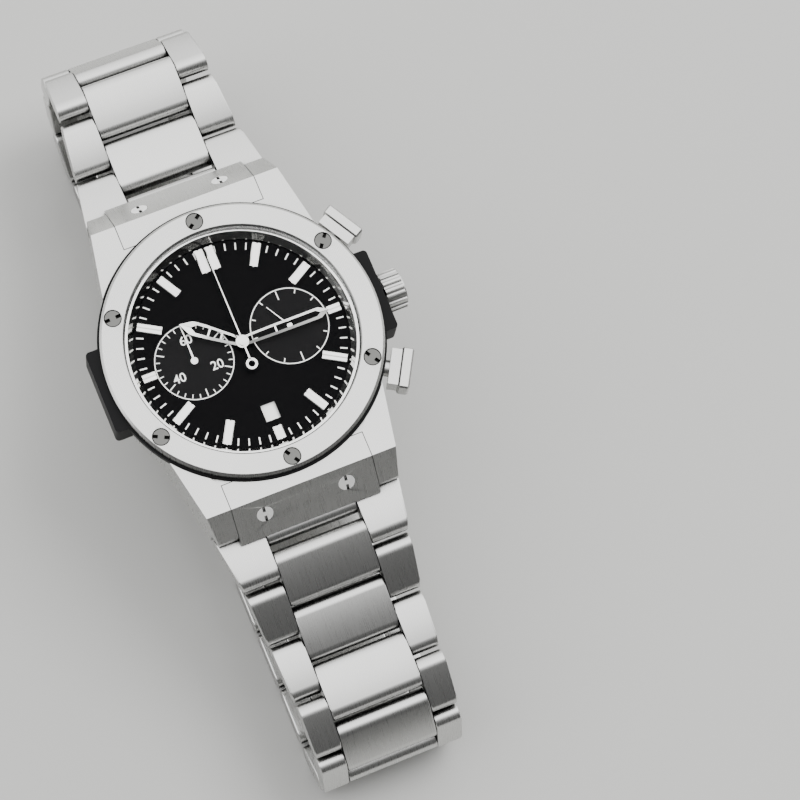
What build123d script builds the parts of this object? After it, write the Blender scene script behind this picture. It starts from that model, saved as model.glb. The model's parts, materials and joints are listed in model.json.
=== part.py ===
"""Chronograph wristwatch on a closed steel bracelet, lying flat with the dial up.

Millimetres. +Z is up and square to the dial, +X points to 3 o'clock and +Y to
12 o'clock. The origin is on the surface that the clasp rests on, under the
dial's centre. Heights in the watch head are given from the dial's top face.
"""
from build123d import *
from math import asin, atan2, cos, degrees, exp, hypot, radians, sin
import os

os.makedirs("parts", exist_ok=True)

# ---------------------------------------------------------------- bracelet
HALF_PITCH = 4.5            # from one link pin to the next
LINK_THICK = 3.2
LINK_GAP = 0.4              # between two links in one column
CENTRE_WIDTH = 14.0
SIDE_CLEAR = 0.12           # between a centre link and an outer link
OUTER_END_HALF = 10.7       # half width of the bracelet far from the case
OUTER_FLARE = 3.0           # how much wider it is, each side, at the case
FLARE_STEPS = 3.5           # pins over which that extra width fades
PIN_R = 0.6
PIN_FIT = 0.02              # pin in an outer link, where it is held
PIN_RUN = 0.05              # pin in a centre link, where it turns
LUG_PIN_Y = 26.6
LUG_PIN_DROP = 5.7          # lug pin below the dial
# downward slope of each half pitch, from the case outwards, as it lies at rest
TILT_6 = [5, 28, 33, 20, 8, 6, 30, 48, 72, 105, 140]
TILT_12 = [11, -3, -14, -13, 32, 60, 82, 92, 104, 120, 150]
FLAT_ROWS = 3               # rows of each half that lie flat under the case

# ---------------------------------------------------------------- watch head
CASE_R = 19.9
CASE_TOP = 0.4
CASE_BOTTOM = -6.8
CASE_BORE_R = 17.35
LUG_TOP = 1.5
LUG_SPLIT_HALF = 10.8       # half width of the end piece between the lugs
LUG_TIP_HALF = 13.9
LUG_ROOT_HALF = 16.6
LUG_ROOT_Y = 12.0
LUG_TIP_Y = 26.0
END_TIP_Y = 27.0
FACET_START_Y = 22.6
FACET_END_Z = -3.6
LUG_UNDER_GAP = 0.3         # lug tips to the first outer links below them
END_BACK_Y = 18.9           # inner face of the end piece
END_CLEAR = 0.1
TONGUE_CLEAR = 0.15
NOTCH_Y = 24.1
BEZEL_R = 20.5
BEZEL_INNER_R = 17.0
BEZEL_TOP = 2.9
BEZEL_BOTTOM = 1.6
BEZEL_CHAMFER = 0.35
BEZEL_INNER_CHAMFER = 0.2
BEZEL_SCREW_CIRCLE_R = 18.8
SCREW_HEAD_R = 1.25
SCREW_HEAD_DEPTH = 0.8
SCREW_SHANK_R = 0.65
SCREW_CLEAR = 0.05
SLOT_WIDTH = 0.42
RESIN_R = 20.85
EAR_X = 21.8                # outer face of the resin ears at 3 and 9 o'clock
EAR_HALF = 6.3
EAR_SINK = 0.7              # how far the ears sit into the case's flank
EAR_BOTTOM = -3.4
CRYSTAL_TOP = 3.25
CRYSTAL_BOTTOM = 1.75
CRYSTAL_CHAMFER = 0.25
CRYSTAL_GAP = 0.25          # gasket gap between the crystal and the bezel
CRYSTAL_R = BEZEL_INNER_R - CRYSTAL_GAP
FLANGE_INNER_R = 15.7
DIAL_R = 17.2
DIAL_THICK = 0.4
SUBDIAL_X = 7.4
SUBDIAL_R = 5.9
SUBDIAL_DEPTH = 0.12
DATE_Y = -10.9
DATE_WIDTH = 2.2
DATE_HEIGHT = 2.6

# ---------------------------------------------------------------- hands, from the dial's top
HAND_THICK = 0.14
SMALL_HAND_Z = 0.12
HOUR_HAND_Z = 0.55
MINUTE_HAND_Z = 0.9
CHRONO_HAND_Z = 1.25
HOUR_LENGTH = 9.2
MINUTE_LENGTH = 13.4
CHRONO_LENGTH = 13.7
CHRONO_TAIL = 5.2
SMALL_HAND_LENGTH = 4.3
HOUR_CLOCK = 307.5          # clock angles, clockwise from 12
MINUTE_CLOCK = 90.0
COUNTER_CLOCK = 330.0
HAND_WIDTH = 1.7
HAND_FOOT_Z = -1.3          # the hands' tubes end here, in the movement
CHRONO_ARBOR_R = 0.25
MINUTE_TUBE_R = 0.5
HOUR_TUBE_R = 0.75
TUBE_CLEAR = 0.05

# ---------------------------------------------------------------- movement
DATE_DISC_TOP = -0.5
DATE_DISC_THICK = 0.2
DATE_DISC_R = 13.0
DATE_DISC_INNER_R = 8.9
PLATE_TOP = -0.8
PLATE_THICK = 1.3
MOVEMENT_R = 15.2
TRAIN_THICK = 0.9
BRIDGE_THICK = 1.0
ROTOR_THICK = 0.6
ROTOR_GAP = 0.25
RUN = 0.05                  # running clearance of arbors in the movement

# ---------------------------------------------------------------- controls
CROWN_R = 3.0
CROWN_LENGTH = 2.8
CROWN_BOSS = 0.2            # raised disc on the crown's end
CROWN_FLUTES = 16
FLUTE_R = 0.42
CROWN_X = 22.2
CROWN_Z = -1.9
STEM_R = 0.55
STEM_INNER_X = 15.8
PUSHER_CLOCKS = {"pusher_2": 60.0, "pusher_4": 120.0}
PUSHER_IN_R = 21.6
PUSHER_OUT_R = 24.8
PUSHER_WIDTH = 6.2
PUSHER_BLOCK_WIDTH = 5.4    # the block between the case and the cap
PUSHER_CAP = 1.7            # thickness of the cap
PUSHER_HEIGHT = 3.9
PUSHER_CHAMFER = 0.25
PUSHER_NECK_R = 1.25
PUSHER_FOOT_R = 18.4
PUSHER_TRAVEL = 0.8
CONTROL_CLEAR = 0.06

# ---------------------------------------------------------------- caseback
BACK_R = 18.9
BACK_THICK = 1.9
BACK_GLASS_R = 12.6
BACK_GLASS_THICK = 0.9
BACK_LEDGE = 0.8
BACK_CHAMFER = 0.9
BACK_SCREW_CIRCLE_R = 17.0
BACK_SCREW_R = 0.85

# ---------------------------------------------------------------- clasp
CLASP_HALF = 10.2           # half width of the cover
COVER_THICK = 1.2
COVER_WALL = 1.0
COVER_WALL_TOP = 3.1
BLADE_THICK = 1.0
BLADE_HALF = 7.0
MIDDLE_BLADE_Z = 2.2        # mid height of the middle blade and of the cover's pin
INNER_BLADE_Z = 3.8         # mid height of the inner blade
FOLD_PIN_Z = 3.0
FOLD_BARREL_R = 1.3
COVER_BARREL_R = 0.95
CLASP_END_GAP = 0.5         # cover to the last links, at both ends
BUTTON_R = 1.3

DOWN = -1
SCREW_ANGLES = [60 * index for index in range(6)]


# ================================================================ chain of pins
def walk(tilts, side):
    """Pins (y, z) and headings along one half, starting at the lug pin, z from there."""
    y, z = side * LUG_PIN_Y, 0.0
    pins, headings = [(y, z)], []
    for tilt in tilts:
        y += side * HALF_PITCH * cos(radians(tilt))
        z -= HALF_PITCH * sin(radians(tilt))
        headings.append(-tilt if side > 0 else 180 + tilt)
        pins.append((y, z))
    return pins, headings


def drop(tilts):
    """Height lost over a list of half pitches."""
    return sum(HALF_PITCH * sin(radians(tilt)) for tilt in tilts)


# the last slope at 12 o'clock brings that half down to the same level as the other
last_drop = drop(TILT_6) - drop(TILT_12)
TILT_12_ALL = TILT_12 + [180 - degrees(asin(last_drop / HALF_PITCH))]
FLAT_TILTS = [180] * (2 * FLAT_ROWS)
LUG_PIN_Z = LINK_THICK / 2 + drop(TILT_6)
DIAL_Z = LUG_PIN_Z + LUG_PIN_DROP
LUG_UNDER = LINK_THICK / 2 + LUG_UNDER_GAP - LUG_PIN_DROP

HALVES = {}
for half_name, half_side, half_tilts in (("6", -1, TILT_6), ("12", 1, TILT_12_ALL)):
    half_pins, half_headings = walk(half_tilts + FLAT_TILTS, half_side)
    HALVES[half_name] = {
        "side": half_side,
        "pins": [(y, z + LUG_PIN_Z) for y, z in half_pins],
        "headings": half_headings,
        "single": len(half_tilts),
    }


def at(height):
    """A level plane, its height given from the dial's top face."""
    return Plane.XY.offset(DIAL_Z + height)


def link_plane(half, index, x=0.0):
    """Plane at one pin, its X along the link that starts there and its normal along +X."""
    y, z = half["pins"][index]
    heading = radians(half["headings"][index])
    return Plane(origin=(x, y, z), x_dir=(0, cos(heading), sin(heading)), z_dir=(1, 0, 0))


def outer_half(step):
    """Half width of the bracelet, a number of pins away from the case."""
    return OUTER_END_HALF + OUTER_FLARE * exp(-step / FLARE_STEPS)


OUTER_INNER_X = CENTRE_WIDTH / 2 + SIDE_CLEAR
TONGUE_HALF = CENTRE_WIDTH / 2 - TONGUE_CLEAR     # of the end pieces and the clasp's blade
LINK_LENGTH = 2 * HALF_PITCH - LINK_GAP


# ================================================================ bracelet links
def centre_link(half, index):
    """Centre link from pin index to the next, bored to turn on both."""
    plane = link_plane(half, index)
    with BuildPart() as link:
        with BuildSketch(plane):
            with Locations((HALF_PITCH / 2, 0)):
                SlotOverall(LINK_LENGTH, LINK_THICK)
            with Locations((0, 0), (HALF_PITCH, 0)):
                Circle(PIN_R + PIN_RUN, mode=Mode.SUBTRACT)
        extrude(amount=CENTRE_WIDTH / 2, both=True)
    return link.part


def outer_links(half, index):
    """Pair of outer links from pin index to the next, with the two pins they hold."""
    plane = link_plane(half, index, OUTER_INNER_X)
    start, end = -HALF_PITCH, 2 * HALF_PITCH
    wide = outer_half(index + start / HALF_PITCH)
    narrow = outer_half(index + end / HALF_PITCH)
    top = link_plane(half, index)
    flat = Plane(origin=top.origin, x_dir=top.x_dir, z_dir=top.y_dir)
    with BuildPart() as links:
        with BuildSketch(plane):
            with Locations((HALF_PITCH / 2, 0)):
                SlotOverall(LINK_LENGTH, LINK_THICK)
            with Locations((0, 0), (HALF_PITCH, 0)):
                Circle(PIN_R + PIN_FIT, mode=Mode.SUBTRACT)
        extrude(amount=wide)
        with BuildSketch(flat):
            with BuildLine():
                Polyline((start, 0), (end, 0), (end, -narrow), (start, -wide), close=True)
            make_face()
        extrude(amount=LINK_THICK, both=True, mode=Mode.INTERSECT)
        mirror(about=Plane.YZ)
        with BuildSketch(link_plane(half, index, -outer_half(index + 1) + PIN_R)):
            with Locations((0, 0), (HALF_PITCH, 0)):
                Circle(PIN_R)
        extrude(amount=2 * (outer_half(index + 1) - PIN_R))
    return links.part


def flat_row(half, index):
    """Two links of the flat run that share a body: one centre link and one outer pair."""
    first_is_outer = index % 2 == 0
    with BuildPart() as row:
        add(outer_links(half, index if first_is_outer else index + 1))
        add(centre_link(half, index + 1 if first_is_outer else index))
    return row.part


NODES = {}


def keep(name, part):
    """Label a finished piece and write its STEP file."""
    part.label = name
    export_step(part, f"parts/{name}.step")
    NODES[name] = part


for half_name, half in HALVES.items():
    for index in range(half["single"]):
        if index % 2 == 0:
            keep(f"outer_links_{half_name}_{index // 2 + 1}", outer_links(half, index))
        else:
            keep(f"centre_link_{half_name}_{index // 2 + 1}", centre_link(half, index))
    for row_index in range(FLAT_ROWS):
        first = half["single"] + 2 * row_index
        keep(f"flat_row_{half_name}_{row_index + 1}", flat_row(half, first))


# ================================================================ screws
def slotted_screws(places, head_r, head_depth, shank_r, length, plane):
    """Screws with a two-eared slot, heads down from the plane, at local places (x, y)."""
    with BuildPart() as screws:
        with BuildSketch(plane):
            with Locations(*places):
                Circle(head_r)
        extrude(amount=DOWN * head_depth)
        with BuildSketch(plane.offset(DOWN * head_depth)):
            with Locations(*places):
                Circle(shank_r)
        extrude(amount=DOWN * (length - head_depth))
        with BuildSketch(plane):
            with Locations(*places):
                with Locations((0, 0.72 * head_r), (0, -0.72 * head_r)):
                    Rectangle(SLOT_WIDTH, 0.9 * head_r)
        extrude(amount=DOWN * head_depth / 2, mode=Mode.SUBTRACT)
    return screws.part


def ring_places(radius, angles):
    """Points on a circle, angles in degrees clockwise from 12 o'clock."""
    return [(radius * sin(radians(a)), radius * cos(radians(a))) for a in angles]


# ================================================================ case middle
FACET_SLOPE = (LUG_TOP - FACET_END_Z) / (END_TIP_Y - FACET_START_Y)


def facet_z(y):
    """Height of the sloping end facet at a distance from the dial's centre."""
    return LUG_TOP - FACET_SLOPE * (y - FACET_START_Y)


def radial_plane(clock, radius, height):
    """Plane facing outwards at a clock angle; its X runs level and its Y up."""
    out = (sin(radians(clock)), cos(radians(clock)), 0)
    level = (cos(radians(clock)), -sin(radians(clock)), 0)
    return Plane(origin=(radius * out[0], radius * out[1], DIAL_Z + height),
                 x_dir=(-level[0], -level[1], 0), z_dir=out)


PUSHER_Z = CROWN_Z
with BuildPart() as case_middle:
    with BuildSketch(at(CASE_BOTTOM)):
        Circle(CASE_R)
    extrude(amount=CASE_TOP - CASE_BOTTOM)
    with BuildSketch(Plane.YZ.offset(-LUG_ROOT_HALF)):
        with BuildLine():
            Polyline((0, DIAL_Z + CASE_BOTTOM), (NOTCH_Y, DIAL_Z + CASE_BOTTOM),
                     (NOTCH_Y, DIAL_Z + LUG_UNDER), (LUG_TIP_Y, DIAL_Z + LUG_UNDER),
                     (LUG_TIP_Y, DIAL_Z + facet_z(LUG_TIP_Y)), (FACET_START_Y, DIAL_Z + LUG_TOP),
                     (0, DIAL_Z + LUG_TOP), close=True)
        make_face()
        mirror(about=Plane.YZ)
    lugs = extrude(amount=2 * LUG_ROOT_HALF, mode=Mode.PRIVATE)
    with BuildSketch(at(CASE_BOTTOM)) as lug_outline:
        with BuildLine():
            Polyline((0, LUG_ROOT_Y), (LUG_ROOT_HALF, LUG_ROOT_Y), (LUG_TIP_HALF, LUG_TIP_Y),
                     (0, LUG_TIP_Y), close=True)
        make_face()
        mirror(about=Plane.YZ)
        mirror(about=Plane.XZ)
    lug_prism = extrude(amount=LUG_TOP - CASE_BOTTOM, mode=Mode.PRIVATE)
    add(lugs & lug_prism)
    with BuildSketch(at(CASE_BOTTOM)):
        Circle(CASE_BORE_R)
    extrude(amount=LUG_TOP - CASE_BOTTOM, mode=Mode.SUBTRACT)
    with BuildSketch(at(CASE_TOP)):
        Circle(RESIN_R + END_CLEAR)
    extrude(amount=LUG_TOP - CASE_TOP, mode=Mode.SUBTRACT)
    # slots for the end pieces
    slot_depth = LUG_TIP_Y - END_BACK_Y + 1
    with BuildSketch(at(CASE_BOTTOM)):
        for side in (1, -1):
            with Locations((0, side * (END_BACK_Y - END_CLEAR + slot_depth / 2))):
                Rectangle(2 * (LUG_SPLIT_HALF + END_CLEAR), slot_depth)
    extrude(amount=LUG_TOP - CASE_BOTTOM, mode=Mode.SUBTRACT)
    # pockets for the resin ears, and holes for the stem and the pushers
    with BuildSketch(at(EAR_BOTTOM - END_CLEAR)):
        for side in (1, -1):
            with Locations((side * (CASE_R + EAR_X) / 2, 0)):
                Rectangle(EAR_X - CASE_R + 2 * EAR_SINK, 2 * (EAR_HALF + END_CLEAR))
    extrude(amount=LUG_TOP - EAR_BOTTOM + END_CLEAR, mode=Mode.SUBTRACT)
    with BuildSketch(radial_plane(90, CASE_BORE_R - 1, CROWN_Z)):
        Circle(STEM_R + CONTROL_CLEAR)
    extrude(amount=CASE_R, mode=Mode.SUBTRACT)
    for clock in PUSHER_CLOCKS.values():
        with BuildSketch(radial_plane(clock, CASE_BORE_R - 1, PUSHER_Z)):
            Circle(PUSHER_NECK_R + CONTROL_CLEAR)
        extrude(amount=CASE_R, mode=Mode.SUBTRACT)
keep("case_middle", case_middle.part)

# ================================================================ resin insert under the bezel
ear_root_x = CASE_R - EAR_SINK + END_CLEAR
with BuildPart() as resin_insert:
    with BuildSketch(at(CASE_TOP)):
        Circle(RESIN_R)
        Circle(CASE_BORE_R, mode=Mode.SUBTRACT)
    extrude(amount=BEZEL_BOTTOM - CASE_TOP)
    with BuildSketch(at(EAR_BOTTOM)):
        for side in (1, -1):
            with Locations((side * (ear_root_x + EAR_X) / 2, 0)):
                Rectangle(EAR_X - ear_root_x, 2 * EAR_HALF)
    extrude(amount=BEZEL_BOTTOM - EAR_BOTTOM)
    ear_corners = [edge for edge in resin_insert.edges().filter_by(Axis.Z)
                   if abs(edge.center().X) > EAR_X - END_CLEAR]
    fillet(ear_corners, 0.6)
    with BuildSketch(at(CASE_TOP)):
        with Locations(*ring_places(BEZEL_SCREW_CIRCLE_R, SCREW_ANGLES)):
            Circle(SCREW_SHANK_R + SCREW_CLEAR)
    extrude(amount=BEZEL_BOTTOM - CASE_TOP, mode=Mode.SUBTRACT)
    with BuildSketch(radial_plane(90, CASE_R - 2, CROWN_Z)):
        Circle(STEM_R + CONTROL_CLEAR)
    extrude(amount=EAR_X, mode=Mode.SUBTRACT)
keep("resin_insert", resin_insert.part)

# ================================================================ bezel and its screws
with BuildPart() as bezel:
    with BuildSketch(at(BEZEL_BOTTOM)):
        Circle(BEZEL_R)
        Circle(BEZEL_INNER_R, mode=Mode.SUBTRACT)
    extrude(amount=BEZEL_TOP - BEZEL_BOTTOM)
    top_edges = bezel.edges().filter_by(GeomType.CIRCLE).group_by(Axis.Z)[-1].sort_by(SortBy.RADIUS)
    chamfer(top_edges[-1], BEZEL_CHAMFER)
    chamfer(top_edges[0], BEZEL_INNER_CHAMFER)
    with BuildSketch(at(BEZEL_TOP)):
        with Locations(*ring_places(BEZEL_SCREW_CIRCLE_R, SCREW_ANGLES)):
            Circle(SCREW_HEAD_R + SCREW_CLEAR)
    extrude(amount=DOWN * (SCREW_HEAD_DEPTH + SCREW_CLEAR), mode=Mode.SUBTRACT)
    with BuildSketch(at(BEZEL_TOP)):
        with Locations(*ring_places(BEZEL_SCREW_CIRCLE_R, SCREW_ANGLES)):
            Circle(SCREW_SHANK_R + SCREW_CLEAR)
    extrude(amount=DOWN * (BEZEL_TOP - BEZEL_BOTTOM), mode=Mode.SUBTRACT)
keep("bezel", bezel.part)

bezel_screw_length = BEZEL_TOP - CASE_TOP - SCREW_CLEAR
keep("bezel_screws", slotted_screws(ring_places(BEZEL_SCREW_CIRCLE_R, SCREW_ANGLES), SCREW_HEAD_R,
                                    SCREW_HEAD_DEPTH, SCREW_SHANK_R, bezel_screw_length,
                                    at(BEZEL_TOP)))

# ================================================================ crystal, flange, dial
with BuildPart() as crystal:
    with BuildSketch(at(CRYSTAL_BOTTOM)):
        Circle(CRYSTAL_R)
    extrude(amount=CRYSTAL_TOP - CRYSTAL_BOTTOM)
    chamfer(crystal.edges().group_by(Axis.Z)[-1], CRYSTAL_CHAMFER)
keep("crystal", crystal.part)

with BuildPart() as flange_ring:
    with BuildSketch(Plane.XZ):
        with BuildLine():
            Polyline((FLANGE_INNER_R, DIAL_Z + 0.02), (BEZEL_INNER_R - 0.1, DIAL_Z + 0.02),
                     (BEZEL_INNER_R - 0.1, DIAL_Z + CRYSTAL_BOTTOM - 0.05),
                     (BEZEL_INNER_R - 0.5, DIAL_Z + CRYSTAL_BOTTOM - 0.05),
                     (FLANGE_INNER_R, DIAL_Z + 0.3), close=True)
        make_face()
    revolve(axis=Axis.Z)
keep("flange_ring", flange_ring.part)

with BuildPart() as dial:
    with BuildSketch(at(-DIAL_THICK)):
        Circle(DIAL_R)
        Circle(HOUR_TUBE_R + TUBE_CLEAR, mode=Mode.SUBTRACT)
        with Locations((0, DATE_Y)):
            Rectangle(DATE_WIDTH, DATE_HEIGHT, mode=Mode.SUBTRACT)
        with Locations((-SUBDIAL_X, 0), (SUBDIAL_X, 0)):
            Circle(CHRONO_ARBOR_R + TUBE_CLEAR, mode=Mode.SUBTRACT)
    extrude(amount=DIAL_THICK)
    with BuildSketch(at(0)):
        with Locations((-SUBDIAL_X, 0), (SUBDIAL_X, 0)):
            Circle(SUBDIAL_R)
    extrude(amount=DOWN * SUBDIAL_DEPTH, mode=Mode.SUBTRACT)
keep("dial", dial.part)

# hour markers: bars with a gable section, a pair at 12 and short ones at 3, 6 and 9
MARKER_OUT_R = 15.3
MARKER_LONG = 3.6
MARKER_SHORT = 2.0
MARKER_WIDTH = 1.3
MARKER_HEIGHT = 0.34
MARKER_PAIR_OFFSET = 0.85


def marker(clock, length, shift=0.0):
    """One gabled bar, pointing at the dial's centre."""
    out = radial_plane(clock, MARKER_OUT_R - length, 0)
    face = Plane(origin=out.origin + out.x_dir * shift, x_dir=out.x_dir, z_dir=out.z_dir)
    with BuildPart() as bar:
        with BuildSketch(face):
            with BuildLine():
                half = MARKER_WIDTH / 2
                Polyline((-half, 0), (half, 0), (half, MARKER_HEIGHT / 2), (0, MARKER_HEIGHT),
                         (-half, MARKER_HEIGHT / 2), close=True)
            make_face()
        extrude(amount=length)
    return bar.part


with BuildPart() as hour_markers:
    for hour in range(12):
        if hour == 0:
            add(marker(0, MARKER_LONG, MARKER_PAIR_OFFSET))
            add(marker(0, MARKER_LONG, -MARKER_PAIR_OFFSET))
        else:
            add(marker(30 * hour, MARKER_SHORT if hour % 3 == 0 else MARKER_LONG))
keep("hour_markers", hour_markers.part)


# ================================================================ hands
def clock_plane(clock, height, x=0.0):
    """Level plane at a hand's height whose Y points at a clock angle."""
    pointing = (cos(radians(clock)), -sin(radians(clock)), 0)
    return Plane(origin=(x, 0, DIAL_Z + height), x_dir=pointing, z_dir=(0, 0, 1))


def open_hand(clock, height, length, width, bore_r, tube_r):
    """Pierced baton hand with a cross bar and a lumed tip, on its tube."""
    rail = 0.28
    shoulder = 0.34 * length
    with BuildPart() as hand:
        with BuildSketch(clock_plane(clock, height)):
            with BuildLine():
                Polyline((-width * 0.3, 0), (width * 0.3, 0), (width / 2, shoulder),
                         (width / 2, length - width), (0, length), (-width / 2, length - width),
                         (-width / 2, shoulder), close=True)
            make_face()
            with BuildLine(mode=Mode.PRIVATE) as window_line:
                Polyline((-width * 0.3 + rail, 0), (width * 0.3 - rail, 0),
                         (width / 2 - rail, shoulder - rail), (-width / 2 + rail, shoulder - rail),
                         close=True)
            make_face(window_line.edges(), mode=Mode.SUBTRACT)
            Circle(2.6 * tube_r)
            Circle(bore_r, mode=Mode.SUBTRACT)
        extrude(amount=HAND_THICK)
        with BuildSketch(clock_plane(clock, HAND_FOOT_Z)):
            Circle(tube_r)
            Circle(bore_r, mode=Mode.SUBTRACT)
        extrude(amount=height - HAND_FOOT_Z + HAND_THICK)
    return hand.part


keep("hour_hand", open_hand(HOUR_CLOCK, HOUR_HAND_Z, HOUR_LENGTH, HAND_WIDTH,
                            MINUTE_TUBE_R + TUBE_CLEAR, HOUR_TUBE_R))
keep("minute_hand", open_hand(MINUTE_CLOCK, MINUTE_HAND_Z, MINUTE_LENGTH, HAND_WIDTH,
                              CHRONO_ARBOR_R + TUBE_CLEAR, MINUTE_TUBE_R))

with BuildPart() as chrono_seconds_hand:
    with BuildSketch(at(CHRONO_HAND_Z)):
        with BuildLine():
            Polyline((-0.3, -CHRONO_TAIL), (0.3, -CHRONO_TAIL), (0.3, 0), (0.1, CHRONO_LENGTH),
                     (-0.1, CHRONO_LENGTH), (-0.3, 0), close=True)
        make_face()
        Circle(0.95)
        with Locations((0, -CHRONO_TAIL + 0.8)):
            Circle(0.95)
            Circle(0.5, mode=Mode.SUBTRACT)
    extrude(amount=HAND_THICK)
    with BuildSketch(at(HAND_FOOT_Z)):
        Circle(CHRONO_ARBOR_R)
    extrude(amount=CHRONO_HAND_Z - HAND_FOOT_Z)
keep("chrono_seconds_hand", chrono_seconds_hand.part)


def small_hand(clock, x):
    """Thin hand of a sub-dial, on its arbor."""
    with BuildPart() as hand:
        with BuildSketch(clock_plane(clock, SMALL_HAND_Z, x)):
            with BuildLine():
                Polyline((-0.22, -1.2), (0.22, -1.2), (0.07, SMALL_HAND_LENGTH),
                         (-0.07, SMALL_HAND_LENGTH), close=True)
            make_face()
            Circle(0.6)
        extrude(amount=HAND_THICK)
        with BuildSketch(clock_plane(clock, HAND_FOOT_Z, x)):
            Circle(CHRONO_ARBOR_R)
        extrude(amount=SMALL_HAND_Z - HAND_FOOT_Z)
    return hand.part


keep("small_seconds_hand", small_hand(0, -SUBDIAL_X))
keep("counter_hand", small_hand(COUNTER_CLOCK, SUBDIAL_X))

# ================================================================ movement
PLATE_BOTTOM = PLATE_TOP - PLATE_THICK
TRAIN_BOTTOM = PLATE_BOTTOM - TRAIN_THICK
BRIDGE_BOTTOM = TRAIN_BOTTOM - BRIDGE_THICK
ROTOR_BOTTOM = BRIDGE_BOTTOM - ROTOR_GAP - ROTOR_THICK
BARREL_PLACE = (-5.4, 4.8)
BARREL_R = 5.6
BALANCE_PLACE = (6.2, -5.4)
BALANCE_R = 4.6
ROTOR_R = 14.6
PIVOT_R = 0.4
HUB_R = 1.2

with BuildPart() as date_disc:
    with BuildSketch(at(DATE_DISC_TOP)):
        Circle(DATE_DISC_R)
        Circle(DATE_DISC_INNER_R, mode=Mode.SUBTRACT)
    extrude(amount=DOWN * DATE_DISC_THICK)
keep("date_disc", date_disc.part)

with BuildPart() as main_plate:
    with BuildSketch(at(PLATE_BOTTOM)):
        Circle(MOVEMENT_R)
        Circle(HOUR_TUBE_R + TUBE_CLEAR, mode=Mode.SUBTRACT)
        with Locations((-SUBDIAL_X, 0), (SUBDIAL_X, 0)):
            Circle(CHRONO_ARBOR_R + TUBE_CLEAR, mode=Mode.SUBTRACT)
        with Locations(BARREL_PLACE, BALANCE_PLACE):
            Circle(PIVOT_R + RUN, mode=Mode.SUBTRACT)
    extrude(amount=PLATE_THICK)
    with BuildSketch(radial_plane(90, STEM_INNER_X - 1.4, CROWN_Z)):
        Circle(STEM_R + CONTROL_CLEAR)
    extrude(amount=MOVEMENT_R, mode=Mode.SUBTRACT)
keep("main_plate", main_plate.part)

with BuildPart() as movement_bridges:
    with BuildSketch(at(BRIDGE_BOTTOM)):
        Circle(MOVEMENT_R)
        with Locations(BALANCE_PLACE):
            Circle(BALANCE_R + 0.6, mode=Mode.SUBTRACT)
        with Locations(BARREL_PLACE):
            Circle(PIVOT_R + RUN, mode=Mode.SUBTRACT)
        Circle(HUB_R + RUN, mode=Mode.SUBTRACT)
    extrude(amount=BRIDGE_THICK)
    with BuildSketch(at(BRIDGE_BOTTOM)):
        with Locations(BALANCE_PLACE):
            Rectangle(2 * BALANCE_R + 3, 1.6)
            Circle(PIVOT_R + RUN, mode=Mode.SUBTRACT)
    extrude(amount=BRIDGE_THICK / 2)
    # wall between the bridges and the plate, round the wheels
    with BuildSketch(at(TRAIN_BOTTOM)):
        Circle(MOVEMENT_R)
        Circle(MOVEMENT_R - 1.2, mode=Mode.SUBTRACT)
    extrude(amount=TRAIN_THICK - RUN)
keep("movement_bridges", movement_bridges.part)


def wheel(place, radius, rim, thick_bottom, thick, spokes):
    """Spoked wheel with an arbor that reaches into the plate and the bridge."""
    with BuildPart() as body:
        with BuildSketch(at(thick_bottom)):
            with Locations(place):
                Circle(radius)
                Circle(radius - rim, mode=Mode.SUBTRACT)
                Circle(HUB_R)
                for spoke in range(spokes):
                    Rectangle(2 * (radius - rim / 2), 0.7, rotation=180 * spoke / spokes)
        extrude(amount=thick)
        with BuildSketch(at(BRIDGE_BOTTOM + RUN)):
            with Locations(place):
                Circle(PIVOT_R)
        extrude(amount=PLATE_TOP - BRIDGE_BOTTOM - 4 * RUN)
    return body.part


keep("balance_wheel", wheel(BALANCE_PLACE, BALANCE_R, 0.5, TRAIN_BOTTOM + RUN,
                            TRAIN_THICK - 0.4, 3))
keep("mainspring_barrel", wheel(BARREL_PLACE, BARREL_R, BARREL_R - HUB_R / 2,
                                TRAIN_BOTTOM + RUN, TRAIN_THICK - 2 * RUN, 1))

with BuildPart() as rotor:
    with BuildSketch(at(ROTOR_BOTTOM)):
        Circle(ROTOR_R)
        Circle(ROTOR_R - 2.4, mode=Mode.SUBTRACT)
        with Locations((0, ROTOR_R)):
            Rectangle(2 * ROTOR_R, 2 * ROTOR_R, mode=Mode.SUBTRACT)
        with Locations((0, -ROTOR_R / 2)):
            Rectangle(4.0, ROTOR_R - 1)
        Circle(3.0)
    extrude(amount=ROTOR_THICK)
    with BuildSketch(at(ROTOR_BOTTOM)):
        Circle(HUB_R)
    extrude(amount=BRIDGE_BOTTOM + BRIDGE_THICK - RUN - ROTOR_BOTTOM)
keep("rotor", rotor.part)

HOLDER_TOP = -DIAL_THICK
with BuildPart() as movement_holder:
    with BuildSketch(at(CASE_BOTTOM)):
        Circle(CASE_BORE_R - RUN)
        Circle(MOVEMENT_R + RUN, mode=Mode.SUBTRACT)
    extrude(amount=HOLDER_TOP - CASE_BOTTOM)
    with BuildSketch(radial_plane(90, MOVEMENT_R - 1, CROWN_Z)):
        Circle(STEM_R + CONTROL_CLEAR)
    extrude(amount=CASE_R, mode=Mode.SUBTRACT)
keep("movement_holder", movement_holder.part)

# ================================================================ crown and pushers
with BuildPart() as winding_stem:
    with BuildSketch(radial_plane(90, STEM_INNER_X, CROWN_Z)):
        Circle(STEM_R)
    extrude(amount=CROWN_X + CROWN_LENGTH / 2 - STEM_INNER_X)
keep("winding_stem", winding_stem.part)

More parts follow.
